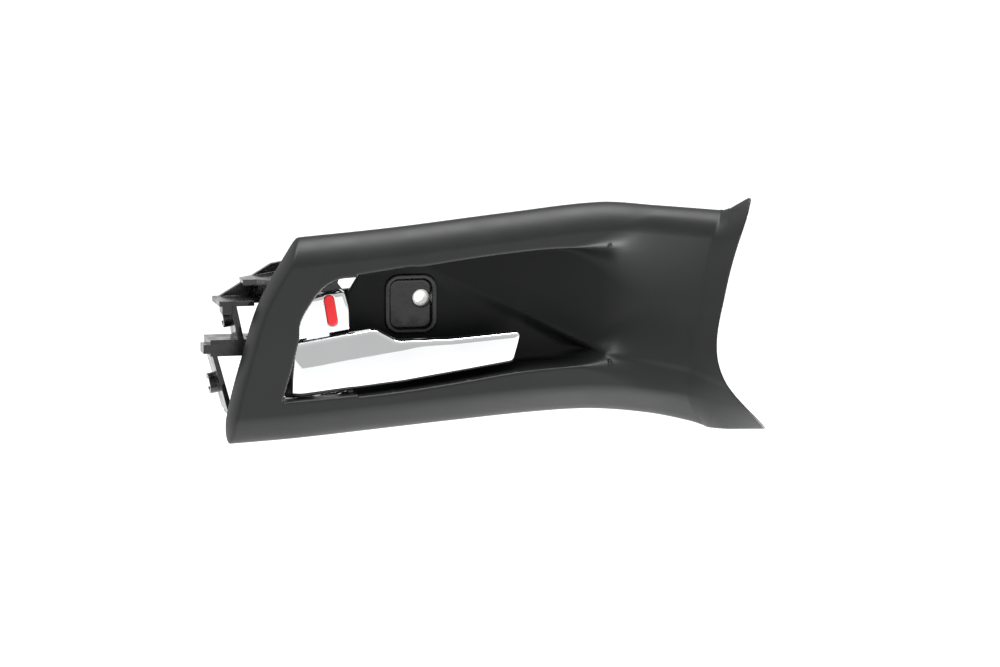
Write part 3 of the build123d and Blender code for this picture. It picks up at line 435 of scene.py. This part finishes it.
class Material:
    """Principled material with noise-driven detail in object space."""

    def __init__(self, name, color, roughness, **inputs):
        self.material = bpy.data.materials.new(name)
        self.material.use_nodes = True
        self.nodes = self.material.node_tree.nodes
        self.links = self.material.node_tree.links
        self.shader = self.nodes["Principled BSDF"]
        self.shader.inputs["Base Color"].default_value = (*color, 1)
        self.shader.inputs["Roughness"].default_value = roughness
        for key, value in inputs.items():
            self.shader.inputs[key.replace("_", " ")].default_value = value
        self.place = self.nodes.new("ShaderNodeTexCoord").outputs["Object"]
        self.normal = None

    def noise(self, scale, detail=3.0, stretch=None):
        source = self.place
        if stretch:
            mapping = self.nodes.new("ShaderNodeMapping")
            mapping.inputs["Scale"].default_value = stretch
            self.links.new(source, mapping.inputs["Vector"])
            source = mapping.outputs["Vector"]
        node = self.nodes.new("ShaderNodeTexNoise")
        node.inputs["Scale"].default_value = scale
        node.inputs["Detail"].default_value = detail
        self.links.new(source, node.inputs["Vector"])
        return node.outputs["Fac"]

    def vary_roughness(self, scale, low, high, **more):
        ramp = self.nodes.new("ShaderNodeMapRange")
        ramp.inputs["From Min"].default_value = 0.3
        ramp.inputs["From Max"].default_value = 0.7
        ramp.inputs["To Min"].default_value = low
        ramp.inputs["To Max"].default_value = high
        self.links.new(self.noise(scale, **more), ramp.inputs["Value"])
        self.links.new(ramp.outputs["Result"], self.shader.inputs["Roughness"])

    def vary_color(self, scale, low, high, **more):
        ramp = self.nodes.new("ShaderNodeValToRGB")
        ramp.color_ramp.elements[0].position = 0.32
        ramp.color_ramp.elements[1].position = 0.68
        ramp.color_ramp.elements[0].color = (*low, 1)
        ramp.color_ramp.elements[1].color = (*high, 1)
        self.links.new(self.noise(scale, **more), ramp.inputs["Fac"])
        self.links.new(ramp.outputs["Color"], self.shader.inputs["Base Color"])

    def bump(self, scale, height, **more):
        """Relief of that height in metres, stacked on what is there."""
        node = self.nodes.new("ShaderNodeBump")
        node.inputs["Strength"].default_value = 1.0
        node.inputs["Distance"].default_value = height
        self.links.new(self.noise(scale, **more), node.inputs["Height"])
        if self.normal:
            self.links.new(self.normal, node.inputs["Normal"])
        self.normal = node.outputs["Normal"]
        self.links.new(self.normal, self.shader.inputs["Normal"])

    def painted_recess_shade(self, face, depth):
        """Specular level on the front face, falling down in the recess: a painted shade that darkens the
        recess.
        """
        split = self.nodes.new("ShaderNodeSeparateXYZ")
        self.links.new(self.place, split.inputs["Vector"])
        ramp = self.nodes.new("ShaderNodeMapRange")
        ramp.inputs["From Min"].default_value = (FACE_Y + 1) * MM
        ramp.inputs["From Max"].default_value = (FACE_Y + 14) * MM
        ramp.inputs["To Min"].default_value = face
        ramp.inputs["To Max"].default_value = depth
        self.links.new(split.outputs["Y"], ramp.inputs["Value"])
        self.links.new(ramp.outputs["Result"], self.shader.inputs["Specular IOR Level"])

    def soft_edges(self, radius):
        node = self.nodes.new("ShaderNodeBevel")
        node.samples = 4
        node.inputs["Radius"].default_value = radius
        self.normal = node.outputs["Normal"]
        self.links.new(self.normal, self.shader.inputs["Normal"])


def bezel_plastic():
    m = Material("bezel_plastic", (0.009, 0.0095, 0.0095), 0.4, Specular_IOR_Level=0.3)
    # painted shade: a lower specular level deeper in the recess makes it darker
    m.painted_recess_shade(0.33, 0.12)
    m.vary_color(14, (0.0075, 0.008, 0.008), (0.0105, 0.011, 0.011))
    m.vary_roughness(60, 0.38, 0.46)
    m.bump(2600, 0.00003, detail=2.0)
    m.bump(300, 0.00002)
    return m.material


def housing_plastic():
    m = Material("housing_plastic", (0.006, 0.006, 0.0065), 0.16)
    m.soft_edges(0.0006)
    m.vary_color(40, (0.004, 0.004, 0.0045), (0.012, 0.012, 0.0125))
    m.vary_roughness(140, 0.1, 0.34)
    m.bump(120, 0.0003)
    m.bump(900, 0.00003)
    return m.material


def core_plastic():
    m = Material("core_plastic", (0.006, 0.006, 0.006), 0.35)
    m.soft_edges(0.0004)
    m.vary_color(60, (0.005, 0.005, 0.005), (0.009, 0.009, 0.009))
    m.vary_roughness(150, 0.3, 0.45)
    m.bump(1500, 0.00003)
    return m.material


def chrome():
    m = Material("chrome", (0.83, 0.835, 0.845), 0.05, Metallic=1.0)
    m.vary_color(25, (0.80, 0.805, 0.815), (0.86, 0.865, 0.87))
    m.vary_roughness(90, 0.012, 0.04)
    m.bump(70, 0.00002, detail=1.0)
    return m.material


def red_mark():
    m = Material("red_mark", (0.62, 0.003, 0.008), 0.36)
    m.vary_color(220, (0.58, 0.0025, 0.006), (0.66, 0.004, 0.010))
    m.vary_roughness(300, 0.3, 0.42)
    m.bump(900, 0.00002)
    return m.material


def metal(name, color, roughness, stretch, spread=0.1):
    m = Material(name, color, roughness, Metallic=1.0)
    m.soft_edges(0.0003)
    m.vary_color(90, tuple(c * 0.85 for c in color), tuple(min(c * 1.1, 1) for c in color))
    m.vary_roughness(250, roughness - spread / 2, roughness + spread, stretch=stretch)
    m.bump(700, 0.00002, stretch=stretch)
    return m.material


def nylon():
    m = Material("nylon", (0.72, 0.7, 0.63), 0.45, Subsurface_Weight=0.2, Subsurface_Scale=0.002)
    m.soft_edges(0.0002)
    m.vary_color(80, (0.68, 0.66, 0.585), (0.76, 0.745, 0.68))
    m.vary_roughness(200, 0.38, 0.52)
    m.bump(1200, 0.00002)
    return m.material


def rubber():
    m = Material("rubber", (0.02, 0.02, 0.02), 0.7)
    m.soft_edges(0.0005)
    m.vary_color(120, (0.015, 0.015, 0.015), (0.03, 0.03, 0.03))
    m.vary_roughness(300, 0.6, 0.8)
    m.bump(1500, 0.00005)
    return m.material


def foam():
    m = Material("foam", (0.045, 0.045, 0.048), 0.9, Sheen_Weight=0.3)
    m.vary_color(1400, (0.02, 0.02, 0.022), (0.075, 0.075, 0.08), detail=4.0)
    m.vary_roughness(900, 0.8, 1.0)
    m.bump(1800, 0.00025, detail=4.0)
    return m.material


MATERIALS = {
    "bezel_plastic": bezel_plastic(),
    "housing_plastic": housing_plastic(),
    "core_plastic": core_plastic(),
    "chrome": chrome(),
    "red_mark": red_mark(),
    "zinc_steel": metal("zinc_steel", (0.60, 0.60, 0.57), 0.32, (1, 6, 1)),
    "pin_steel": metal("pin_steel", (0.56, 0.57, 0.58), 0.22, (1, 1, 8)),
    "spring_steel": metal("spring_steel", (0.33, 0.34, 0.36), 0.28, (1, 1, 1)),
    "nylon": nylon(),
    "rubber": rubber(),
    "black_screws": metal("black_screws", (0.09, 0.09, 0.095), 0.35, (1, 3, 1)),
    "foam": foam(),
}


# ---- bezel -----------------------------------------------------------------------------------

def bezel_front(x, y, z):
    """Distances outside the front skin without its recess, behind the rim, and past the flange."""
    edge = np.minimum((TOP.at(x) - z) * TOP.lean(x), (z - BOTTOM.at(x)) * BOTTOM.lean(x))
    end = (x - LEFT.at(z)) * LEFT.lean(z)
    band = np.maximum(1 - edge / EDGE_ROLL, 0)
    cap = np.maximum(1 - end / END_ROLL, 0)
    root, rim = ROOT.at(z), RIM.at(z)
    share = np.clip((x - root + FLANGE_START) / (rim - root + FLANGE_START), 0, 1.2)
    crest = 1 - np.minimum(band, 1) ** 2
    rise = share ** FLANGE_BEND * (TIP_RISE + (FLANGE_RISE - TIP_RISE) * crest)
    # the flange is a flat lip: the roll along its edges fades out
    band = band * (1 - FLANGE_FLATTEN * np.clip(share / FLANGE_SETTLE, 0, 1))
    # the upper left corner is tighter than the lower left one
    height = np.clip((z - CORNER_Z[0]) / (CORNER_Z[1] - CORNER_Z[0]), 0, 1)
    corner = CORNER_POWERS[0] + (CORNER_POWERS[1] - CORNER_POWERS[0]) * height
    across = (band ** corner + cap ** corner) ** (1 / corner)
    depth = np.maximum(RIM_Y - y - rise, 0) / (RIM_Y - FACE_Y)
    g = (across ** ROLL_POWER + depth ** ROLL_POWER) ** (1 / ROLL_POWER)
    size = np.where(cap > band, END_ROLL, EDGE_ROLL)
    whole = np.maximum(g, 1e-4)
    slope = np.hypot((across / whole) ** (ROLL_POWER - 1) / size,
                     (depth / whole) ** (ROLL_POWER - 1) / (RIM_Y - FACE_Y))
    skin = (g - 1) / np.maximum(slope, 1 / EDGE_ROLL)
    return skin, y - RIM_Y + rise, soft_max((x - rim) * 0.95, -edge, 1.5)


def melt(x):
    """0 where the recess has sharp edges, 1 where they have melted into the ramp."""
    share = np.clip((x - LIP_FADE_X[0]) / (LIP_FADE_X[1] - LIP_FADE_X[0]), 0, 1)
    return share * share * (3 - 2 * share)


def recess(x, y, z):
    """Distance outside the recess and its finger scoop."""
    lean = WALL_DRAFT + (RAMP_DRAFT - WALL_DRAFT) * melt(x)
    mouth = (MOUTH.at(x, z) + lean * np.clip(y - FACE_Y, -10, 30)) / np.hypot(1, lean)
    ramp = (RAMP_TOP_Y - FLOOR_Y) / (RAMP_TOP_X - RAMP_FOOT_X)
    along = x - RAMP_FOOT_X
    rise = 0.5 * (along + np.sqrt(along * along + RAMP_BEND))
    ridge = (z - RIDGE_Z + RIDGE_FALL * (x - RIDGE_X)) * RIDGE_LEAN
    near = np.clip((x - CREST_X[0]) / CREST_FADE, 0, 1) * np.clip((CREST_X[1] - x) / CREST_FADE, 0, 1)
    crest = CREST_HEIGHT * near * np.exp(-((ridge - CREST_SHIFT) / CREST_WIDTH) ** 2)
    floor = y - FLOOR_Y - ramp * rise + crest
    cavity = soft_max(mouth, floor * RAMP_LEAN, CORNER_R + (SOFT_CORNER_R - CORNER_R) * melt(x))
    scoop_floor = (y - FLOOR_Y + SCOOP_SLOPE * np.maximum(along, 0)) * SCOOP_LEAN
    scoop = soft_max(soft_max(mouth, ridge, SCOOP_CORNER_R), scoop_floor, SCOOP_FLOOR_R)
    return soft_min(cavity, scoop, SCOOP_EDGE_R)


def pocket_walls(x, z):
    """Distance outside the rounded square pocket of the screw, seen from the front."""
    centre_x, centre_z = sum(POCKET_X) / 2, sum(POCKET_Z) / 2
    return rounded_bar(x - centre_x, z - centre_z, POCKET_X[1] - centre_x, POCKET_Z[1] - centre_z,
                       POCKET_R)


def bezel_posts(x, y, z):
    """Screw bosses, clip towers and stiffening ribs behind the skin."""
    posts = np.full(np.shape(x), FAR)
    for boss_x, boss_z in BOSSES:
        boss = np.maximum(rod_field(x, z, (boss_x, boss_z), BOSS_R), bar(y, FACE_Y, BOSS_END_Y))
        posts = np.minimum(posts, np.maximum(boss, BOSS_PILOT_R - np.hypot(x - boss_x, z - boss_z)))
    for tower_x, tower_z in CLIP_TOWERS:
        spans = [(tower_x - TOWER_SIZE[0] / 2, tower_x + TOWER_SIZE[0] / 2), (FACE_Y, TOWER_END_Y),
                 (tower_z - TOWER_SIZE[1] / 2, tower_z + TOWER_SIZE[1] / 2)]
        posts = np.minimum(posts, box_field(x, y, z, spans))
    behind = np.maximum(bar(y, FACE_Y, RIM_Y - RIB_INSET), RIB_GAP - MOUTH.at(x, z))
    for rib_x in BEZEL_RIBS:
        rib = np.maximum(bar(x, rib_x - RIB / 2, rib_x + RIB / 2), behind)
        posts = np.minimum(posts, rib)
    return posts


def bezel_field(x, y, z):
    """The whole bezel: skin, recess, hub bay, shield, relief and posts."""
    front, behind_rim, beyond_flange = bezel_front(x, y, z)
    cavity = recess(x, y, z)
    skin = soft_max(front, -cavity, LIP_R + (SOFT_R - LIP_R) * melt(x))
    skin = np.maximum(skin, -(skin + WALL))
    # the floor and walls of the recess stop at the hub bay, with a cut corner
    mouth = MOUTH.at(x, z)
    corner = (z - BAY_CORNER[1] - BAY_SLOPE * (x - BAY_CORNER[0])) * BAY_LEAN
    bay = np.maximum(FLOOR_LEFT_X - x, corner)
    skin = soft_max(skin, np.minimum(bay, -(front + WALL + BAY_GAP)), 0.6)
    plate = np.maximum(soft_max(front, -mouth, LIP_R), -(front + WALL))
    below = MOUTH_BOTTOM.at(x) - z
    shield = np.maximum(np.maximum(-mouth, below - WALL), np.maximum(-below - 1, y - SHIELD_BACK_Y))
    shield_end = OPENING_BOTTOM[0][0] - SHIELD_REACH - x
    shield = np.maximum(shield, np.maximum(FACE_Y + WALL / 2 - y, shield_end))
    skin = np.where(x < FLOOR_LEFT_X, np.minimum(plate, shield), skin)
    hole = np.maximum(pocket_walls(x, z) - WALL, FLOOR_Y - 4 - y)
    skin = np.maximum(skin, -hole)
    skin = soft_max(skin, np.where(mouth < WALL + 1.5, y - 2, behind_rim), 0.5)
    skin = soft_max(skin, beyond_flange, 1.0)
    relief = np.maximum(mouth - RELIEF_SLOPE * (y - FACE_Y - FACE_LIP), x - RELIEF_END_X)
    relief = np.maximum(relief, below + RELIEF_FLOOR)
    skin = np.maximum(skin, -relief)
    posts = np.maximum(bezel_posts(x, y, z), np.minimum(front + POST_INSET, RIM_Y + 0.5 - y))
    return np.minimum(skin, posts)


def build_bezel():
    low, high = (-107.137, -47.211, -70.593), (173.0, 3.0, 53.5)
    piece = make_piece("bezel_shell", *surface(bezel_field, low, high, BEZEL_STEP),
                       MATERIALS["bezel_plastic"])
    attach(piece, "base")
    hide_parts("bezel")


def cup_field(x, y, z):
    walls = pocket_walls(x, z)
    outer = np.maximum(walls - WALL, bar(y, FLOOR_Y, 0.0))
    inner = soft_max(walls, y - POCKET_FLOOR_Y, 1.6)
    cup = soft_max(outer, -inner, 1.4)
    return soft_max(cup, SCREW_HOLE_R - np.hypot(x, z), 0.8)


def build_screw_cup():
    low, high = (-20.13, -7.07, -18.57), (8.6, 1.2, 13.4)
    piece = make_piece("screw_cup_shell", *surface(cup_field, low, high, CUP_STEP),
                       MATERIALS["housing_plastic"])
    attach(piece, "base")
    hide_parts("screw_cup")


# ---- lever and lock knob, in the tilted mechanism frame ---------------------------------------

def drum(x, y):
    """Distance in front of the face that wraps the pin on the left and is flat on the right."""
    return np.where(x < PIVOT_X, np.hypot(x - PIVOT_X, y - PIVOT_Y) - DRUM_R, PIVOT_Y - DRUM_R - y)


def sweep_cut(x, y, sweep):
    """Distance past the end of the drum, `sweep` degrees to the left of the pin."""
    turn = math.radians(sweep)
    return -(x - PIVOT_X) * math.cos(turn) + (y - PIVOT_Y) * math.sin(turn)


def lever_corners():
    left = PIVOT_X - DRUM_R - 2
    points = [(left, LEVER_BOTTOM[0][1]), *LEVER_BOTTOM[1:-1], LEVER_BOTTOM[-1],
              (LEVER_END_X, LEVER_TIP_Z), LEVER_HUMP[2], LEVER_HUMP[1], LEVER_HUMP[0],
              (left, LEVER_TOP_Z)]
    return rounded_corners(points, LEVER_RADII)


LEVER = Outline(lever_corners(), step=0.25, margin=6.0)


def lever_field(x, y, z):
    """The chromed cover: a crowned face with a skirt all round."""
    outline = LEVER.at(x, z)
    middle = (LEVER_TIP_Z + LEVER_BOTTOM[-1][1]) / 2
    crown = LEVER_CROWN * (z - middle) ** 2 + TIP_CROWN * (x - TIP_CROWN_X) ** 2 * (x > TIP_CROWN_X)
    face = drum(x, y) + crown
    outer = soft_max(face, outline, LEVER_EDGE_R)
    shell = np.maximum(outer, -(outer + COVER_T))
    shell = np.maximum(shell, -(drum(x, y) + COVER_SKIRT))
    return np.maximum(shell, sweep_cut(x, y, DRUM_SWEEP))


def build_lever():
    low, high = (-84.031, -31.047, -39.053), (45.5, -10.0, -4.5)
    piece = make_piece("lever_cover", *surface(lever_field, low, high, CHROME_STEP),
                       MATERIALS["chrome"], local=True)
    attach(piece, "lever")
    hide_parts("pull_lever")


def knob_corners():
    left = PIVOT_X - DRUM_R - 2
    points = [(left, KNOB_BOTTOM_Z), (KNOB_END_X - KNOB_LEAN[0], KNOB_BOTTOM_Z), (KNOB_END_X, KNOB_BEND_Z),
              (KNOB_END_X - KNOB_LEAN[1], KNOB_TOP_Z), (left, KNOB_TOP_Z)]
    return rounded_corners(points, KNOB_RADII)


KNOB = Outline(knob_corners(), step=0.25, margin=6.0)


def knob_face(x, y, z):
    middle = (KNOB_TOP_Z + KNOB_BOTTOM_Z) / 2
    return drum(x, y) + KNOB_CROWN * (z - middle) ** 2


def mark_outline(x, z):
    reach = (MARK_H - MARK_W) / 2
    return np.hypot(x - MARK_X, np.maximum(np.abs(z - MARK_Z) - reach, 0)) - MARK_W / 2


def knob_field(x, y, z):
    """The rocker: chromed cap, hub, webs, cable arm and the detent's notches."""
    outer = soft_max(knob_face(x, y, z), KNOB.at(x, z), KNOB_EDGE_R)
    shell = np.maximum(outer, -(outer + COVER_T))
    shell = np.maximum(shell, -(drum(x, y) + KNOB_DEPTH))
    shell = np.maximum(shell, sweep_cut(x, y, KNOB_SWEEP))
    seat = np.maximum(mark_outline(x, z), -(knob_face(x, y, z) + MARK_T))
    shell = soft_max(shell, -seat, 0.3)
    radius = np.hypot(x - PIVOT_X, y - PIVOT_Y)
    hub = np.maximum(radius - KNOB_HUB_R, bar(z, KNOB_BOTTOM_Z, KNOB_HUB_TOP_Z))
    web = np.maximum(np.maximum((x - PIVOT_X) - 0.9 * (PIVOT_Y - y) - 4.5, -(x - PIVOT_X) - 7),
                     bar(y, PIVOT_Y - DRUM_R + 1.0, PIVOT_Y))
    sheets = np.full(np.shape(x), FAR)
    for low in (KNOB_BOTTOM_Z, LOCK_ARM_Z - 1, KNOB_TOP_Z - COVER_T):
        sheets = np.minimum(sheets, bar(z, low, low + COVER_T))
    arm = np.maximum(np.abs(x - PIVOT_X) - ARM_W / 2, bar(y, PIVOT_Y, PIVOT_Y + ARM_REACH))
    eye = (PIVOT_X, PIVOT_Y + ARM_REACH)
    arm = np.minimum(arm, rod_field(x, y, eye, ARM_W / 2))
    arm = np.maximum(np.maximum(arm, BUSH_R - np.hypot(x - eye[0], y - eye[1])),
                     bar(z, LOCK_ARM_Z - ARM_T / 2, LOCK_ARM_Z + ARM_T / 2))
    body = soft_min(soft_min(hub, np.maximum(web, sheets), 0.8), arm, 1.0)
    body = np.maximum(body, PIN_R + RUN - radius)
    for turn in (0.0, -math.radians(KNOB_TRAVEL)):
        reach = KNOB_HUB_R + DETENT_R
        notch = np.hypot(x - PIVOT_X + math.sin(turn) * reach, y - PIVOT_Y - math.cos(turn) * reach)
        body = np.maximum(body, -np.maximum(notch - DETENT_R - 0.3, TOP_EAR_Z - 8 - z))
    return np.minimum(shell, body)


def build_knob():
    low, high = (-80.033, -31.047, -6.551), (-38.5, 11.5, 22.0)
    piece = make_piece("lock_knob_cap", *surface(knob_field, low, high, CHROME_STEP),
                       MATERIALS["chrome"], local=True)
    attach(piece, "knob")
    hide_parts("lock_knob")


def mark_field(x, y, z):
    face = knob_face(x, y, z)
    side = mark_outline(x, z) + MARK_GAP
    front = face - 0.25
    return np.maximum(soft_max(side, front, 0.8), -(face + MARK_T - 0.05))


def build_mark():
    low, high = (MARK_X - 4.5, -31.0, MARK_Z - 10.5), (MARK_X + 4.5, -28.0, MARK_Z + 10.5)
    piece = make_piece("unlock_bar", *surface(mark_field, low, high, MARK_STEP),
                       MATERIALS["red_mark"], local=True)
    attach(piece, "knob")
    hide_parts("unlock_mark")


# ---- small pieces ----------------------------------------------------------------------------

def build_foam_pads():
    """Soft pads with rounded, slightly bulging sides."""
    low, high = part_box("anti_rattle_pads")
    back, front = high[1] / MM, low[1] / MM
    for number, (x, z) in enumerate(PADS):
        def field(px, py, pz, x=x, z=z):
            swell = 0.35 * (1 - ((py - (front + back) / 2) / (back - front) * 2) ** 2)
            plan = rounded_bar(px - x - PAD_SIZE[0] / 2, pz - z - PAD_SIZE[1] / 2, 6.6, 4.6, 1.6) - swell
            return soft_max(plan, bar(py, front, back), 0.9)
        start, end = (x - 1, front - 1, z - 1), (x + PAD_SIZE[0] + 1, back + 1, z + PAD_SIZE[1] + 1)
        corners, quads = surface(field, start, end, PAD_STEP)
        piece = make_piece(f"foam_pad_{number + 1}", corners, quads, MATERIALS["foam"])
        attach(piece, "base")
        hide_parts("anti_rattle_pads")


def build_return_spring():
    """Round wire: a straight leg on the base, then coils up to the lever."""
    turns = COIL_TURNS * 2 * math.pi
    reach = SPINE_FRONT_Y - 1 - PIVOT_Y
    path = [(COIL_R, reach * (1 - i / LEG_POINTS), COIL_LOW_Z) for i in range(LEG_POINTS)]
    for i in range(COIL_POINTS + 1):
        turn = turns * i / COIL_POINTS
        height = COIL_LOW_Z + (COIL_HIGH_Z - COIL_LOW_Z) * i / COIL_POINTS
        path.append((COIL_R * math.cos(turn), -COIL_R * math.sin(turn), height))
    corners, quads = tube([(PIVOT_X + x, PIVOT_Y + y, z) for x, y, z in path], WIRE_R, WIRE_SIDES)
    piece = make_piece("return_spring_wire", corners, quads, MATERIALS["spring_steel"], local=True)
    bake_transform(piece)
    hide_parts("lever_return_spring")


def tube(path, radius, sides):
    """Closed tube of quads along a path, with flat ends."""
    points = [Vector(p) for p in path]
    side = Vector((0, 0, 1))
    corners, quads = [], []
    for i, p in enumerate(points):
        ahead = (points[min(i + 1, len(points) - 1)] - points[max(i - 1, 0)]).normalized()
        side = (side - ahead * side.dot(ahead)).normalized()
        other = ahead.cross(side)
        for k in range(sides):
            a = 2 * math.pi * k / sides
            corners.append(p + (side * math.cos(a) + other * math.sin(a)) * radius)
    for i in range(len(points) - 1):
        for k in range(sides):
            n = (k + 1) % sides
            a, b = i * sides, (i + 1) * sides
            quads.append((a + k, a + n, b + n, b + k))
    last = (len(points) - 1) * sides
    for base, flip in ((0, True), (last, False)):
        for k in range(1, sides // 2):
            quad = (base + k - 1, base + k, base + sides - k - 1, base + (sides - k) % sides)
            quad = quad if k > 1 else (base, base + 1, base + sides - 2, base + sides - 1)
            quads.append(tuple(reversed(quad)) if flip else quad)
    return np.array([tuple(c) for c in corners]), np.array(quads)


def dress_cad_nodes():
    """Finished materials on the nodes that keep their CAD mesh."""
    slots = {part["node"]: part["material_slot"] for part in frame["record"]["subparts"]}
    for node, piece in frame["nodes"].items():
        piece.data.materials.clear()
        piece.data.materials.append(MATERIALS[slots[node]])


# ---- floor, light and camera, in metres --------------------------------------------------------

def stage_material(name, color, emission):
    m = Material(name, color, 0.8)
    m.vary_roughness(3, 0.75, 0.85)
    m.shader.inputs["Emission Color"].default_value = (1, 1, 1, 1)
    m.shader.inputs["Emission Strength"].default_value = emission
    return m.material


def build_floor():
    size, level = 12.0, -0.36
    mesh = bpy.data.meshes.new("floor")
    mesh.from_pydata([(-size, -size, level), (size, -size, level), (size, size, level),
                      (-size, size, level)], [], [(0, 1, 2, 3)])
    mesh.materials.append(stage_material("floor_paper", (0.92, 0.92, 0.92), 0.35))
    floor = bpy.data.objects.new("floor", mesh)
    bpy.context.scene.collection.objects.link(floor)


def aimed(location, target):
    """Rotation of a lamp or camera that looks from one place to another."""
    return (Vector(target) - Vector(location)).to_track_quat("-Z", "Y").to_euler()


def add_light(name, location, size, power, target=(0.03, -0.02, -0.01)):
    light = bpy.data.lights.new(name, "AREA")
    light.shape = "RECTANGLE"
    light.size, light.size_y = size
    light.energy = power
    lamp = bpy.data.objects.new(name, light)
    lamp.location = location
    lamp.rotation_euler = aimed(location, target)
    bpy.context.scene.collection.objects.link(lamp)


def build_light():
    """White studio all round, dimmer in front of the handle, and two softboxes."""
    world = bpy.data.worlds.new("studio")
    world.use_nodes = True
    nodes, links = world.node_tree.nodes, world.node_tree.links
    split = nodes.new("ShaderNodeSeparateXYZ")
    links.new(nodes.new("ShaderNodeTexCoord").outputs["Generated"], split.inputs["Vector"])
    ramp = nodes.new("ShaderNodeValToRGB")
    ramp.color_ramp.elements[0].position = 0.0
    ramp.color_ramp.elements[0].color = (FRONT_LIGHT, FRONT_LIGHT, FRONT_LIGHT, 1)
    ramp.color_ramp.elements[1].position = 0.5
    ramp.color_ramp.elements[1].color = (1, 1, 1, 1)
    span = nodes.new("ShaderNodeMapRange")
    span.inputs["From Min"].default_value = -1.0
    span.inputs["From Max"].default_value = 1.0
    links.new(split.outputs["Y"], span.inputs["Value"])
    links.new(span.outputs["Result"], ramp.inputs["Fac"])
    links.new(ramp.outputs["Color"], nodes["Background"].inputs["Color"])
    bpy.context.scene.world = world
    add_light("overhead_softbox", (0.05, -0.15, 1.2), (1.4, 0.6), 30)
    add_light("lower_right_softbox", (0.30, -0.06, -0.34), (0.3, 0.3), 6, (0.12, -0.03, -0.05))


def build_camera():
    azimuth, elevation, distance = math.radians(-12), math.radians(8), 2.778
    target = Vector((0.0385, -0.0108, -0.0180))
    back = Vector((math.sin(azimuth) * math.cos(elevation), -math.cos(azimuth) * math.cos(elevation),
                   math.sin(elevation)))
    data = bpy.data.cameras.new("camera")
    data.lens, data.sensor_width = 200, 36
    data.clip_end = 50
    camera = bpy.data.objects.new("camera", data)
    camera.location = target + back * distance
    camera.rotation_euler = aimed(camera.location, target)
    bpy.context.scene.collection.objects.link(camera)
    bpy.context.scene.camera = camera


build_camera()
build_light()
build_floor()
dress_cad_nodes()
build_bezel()
build_screw_cup()
build_lever()
build_knob()
build_mark()
build_foam_pads()
build_return_spring()
bpy.context.scene.view_settings.view_transform = "Standard"
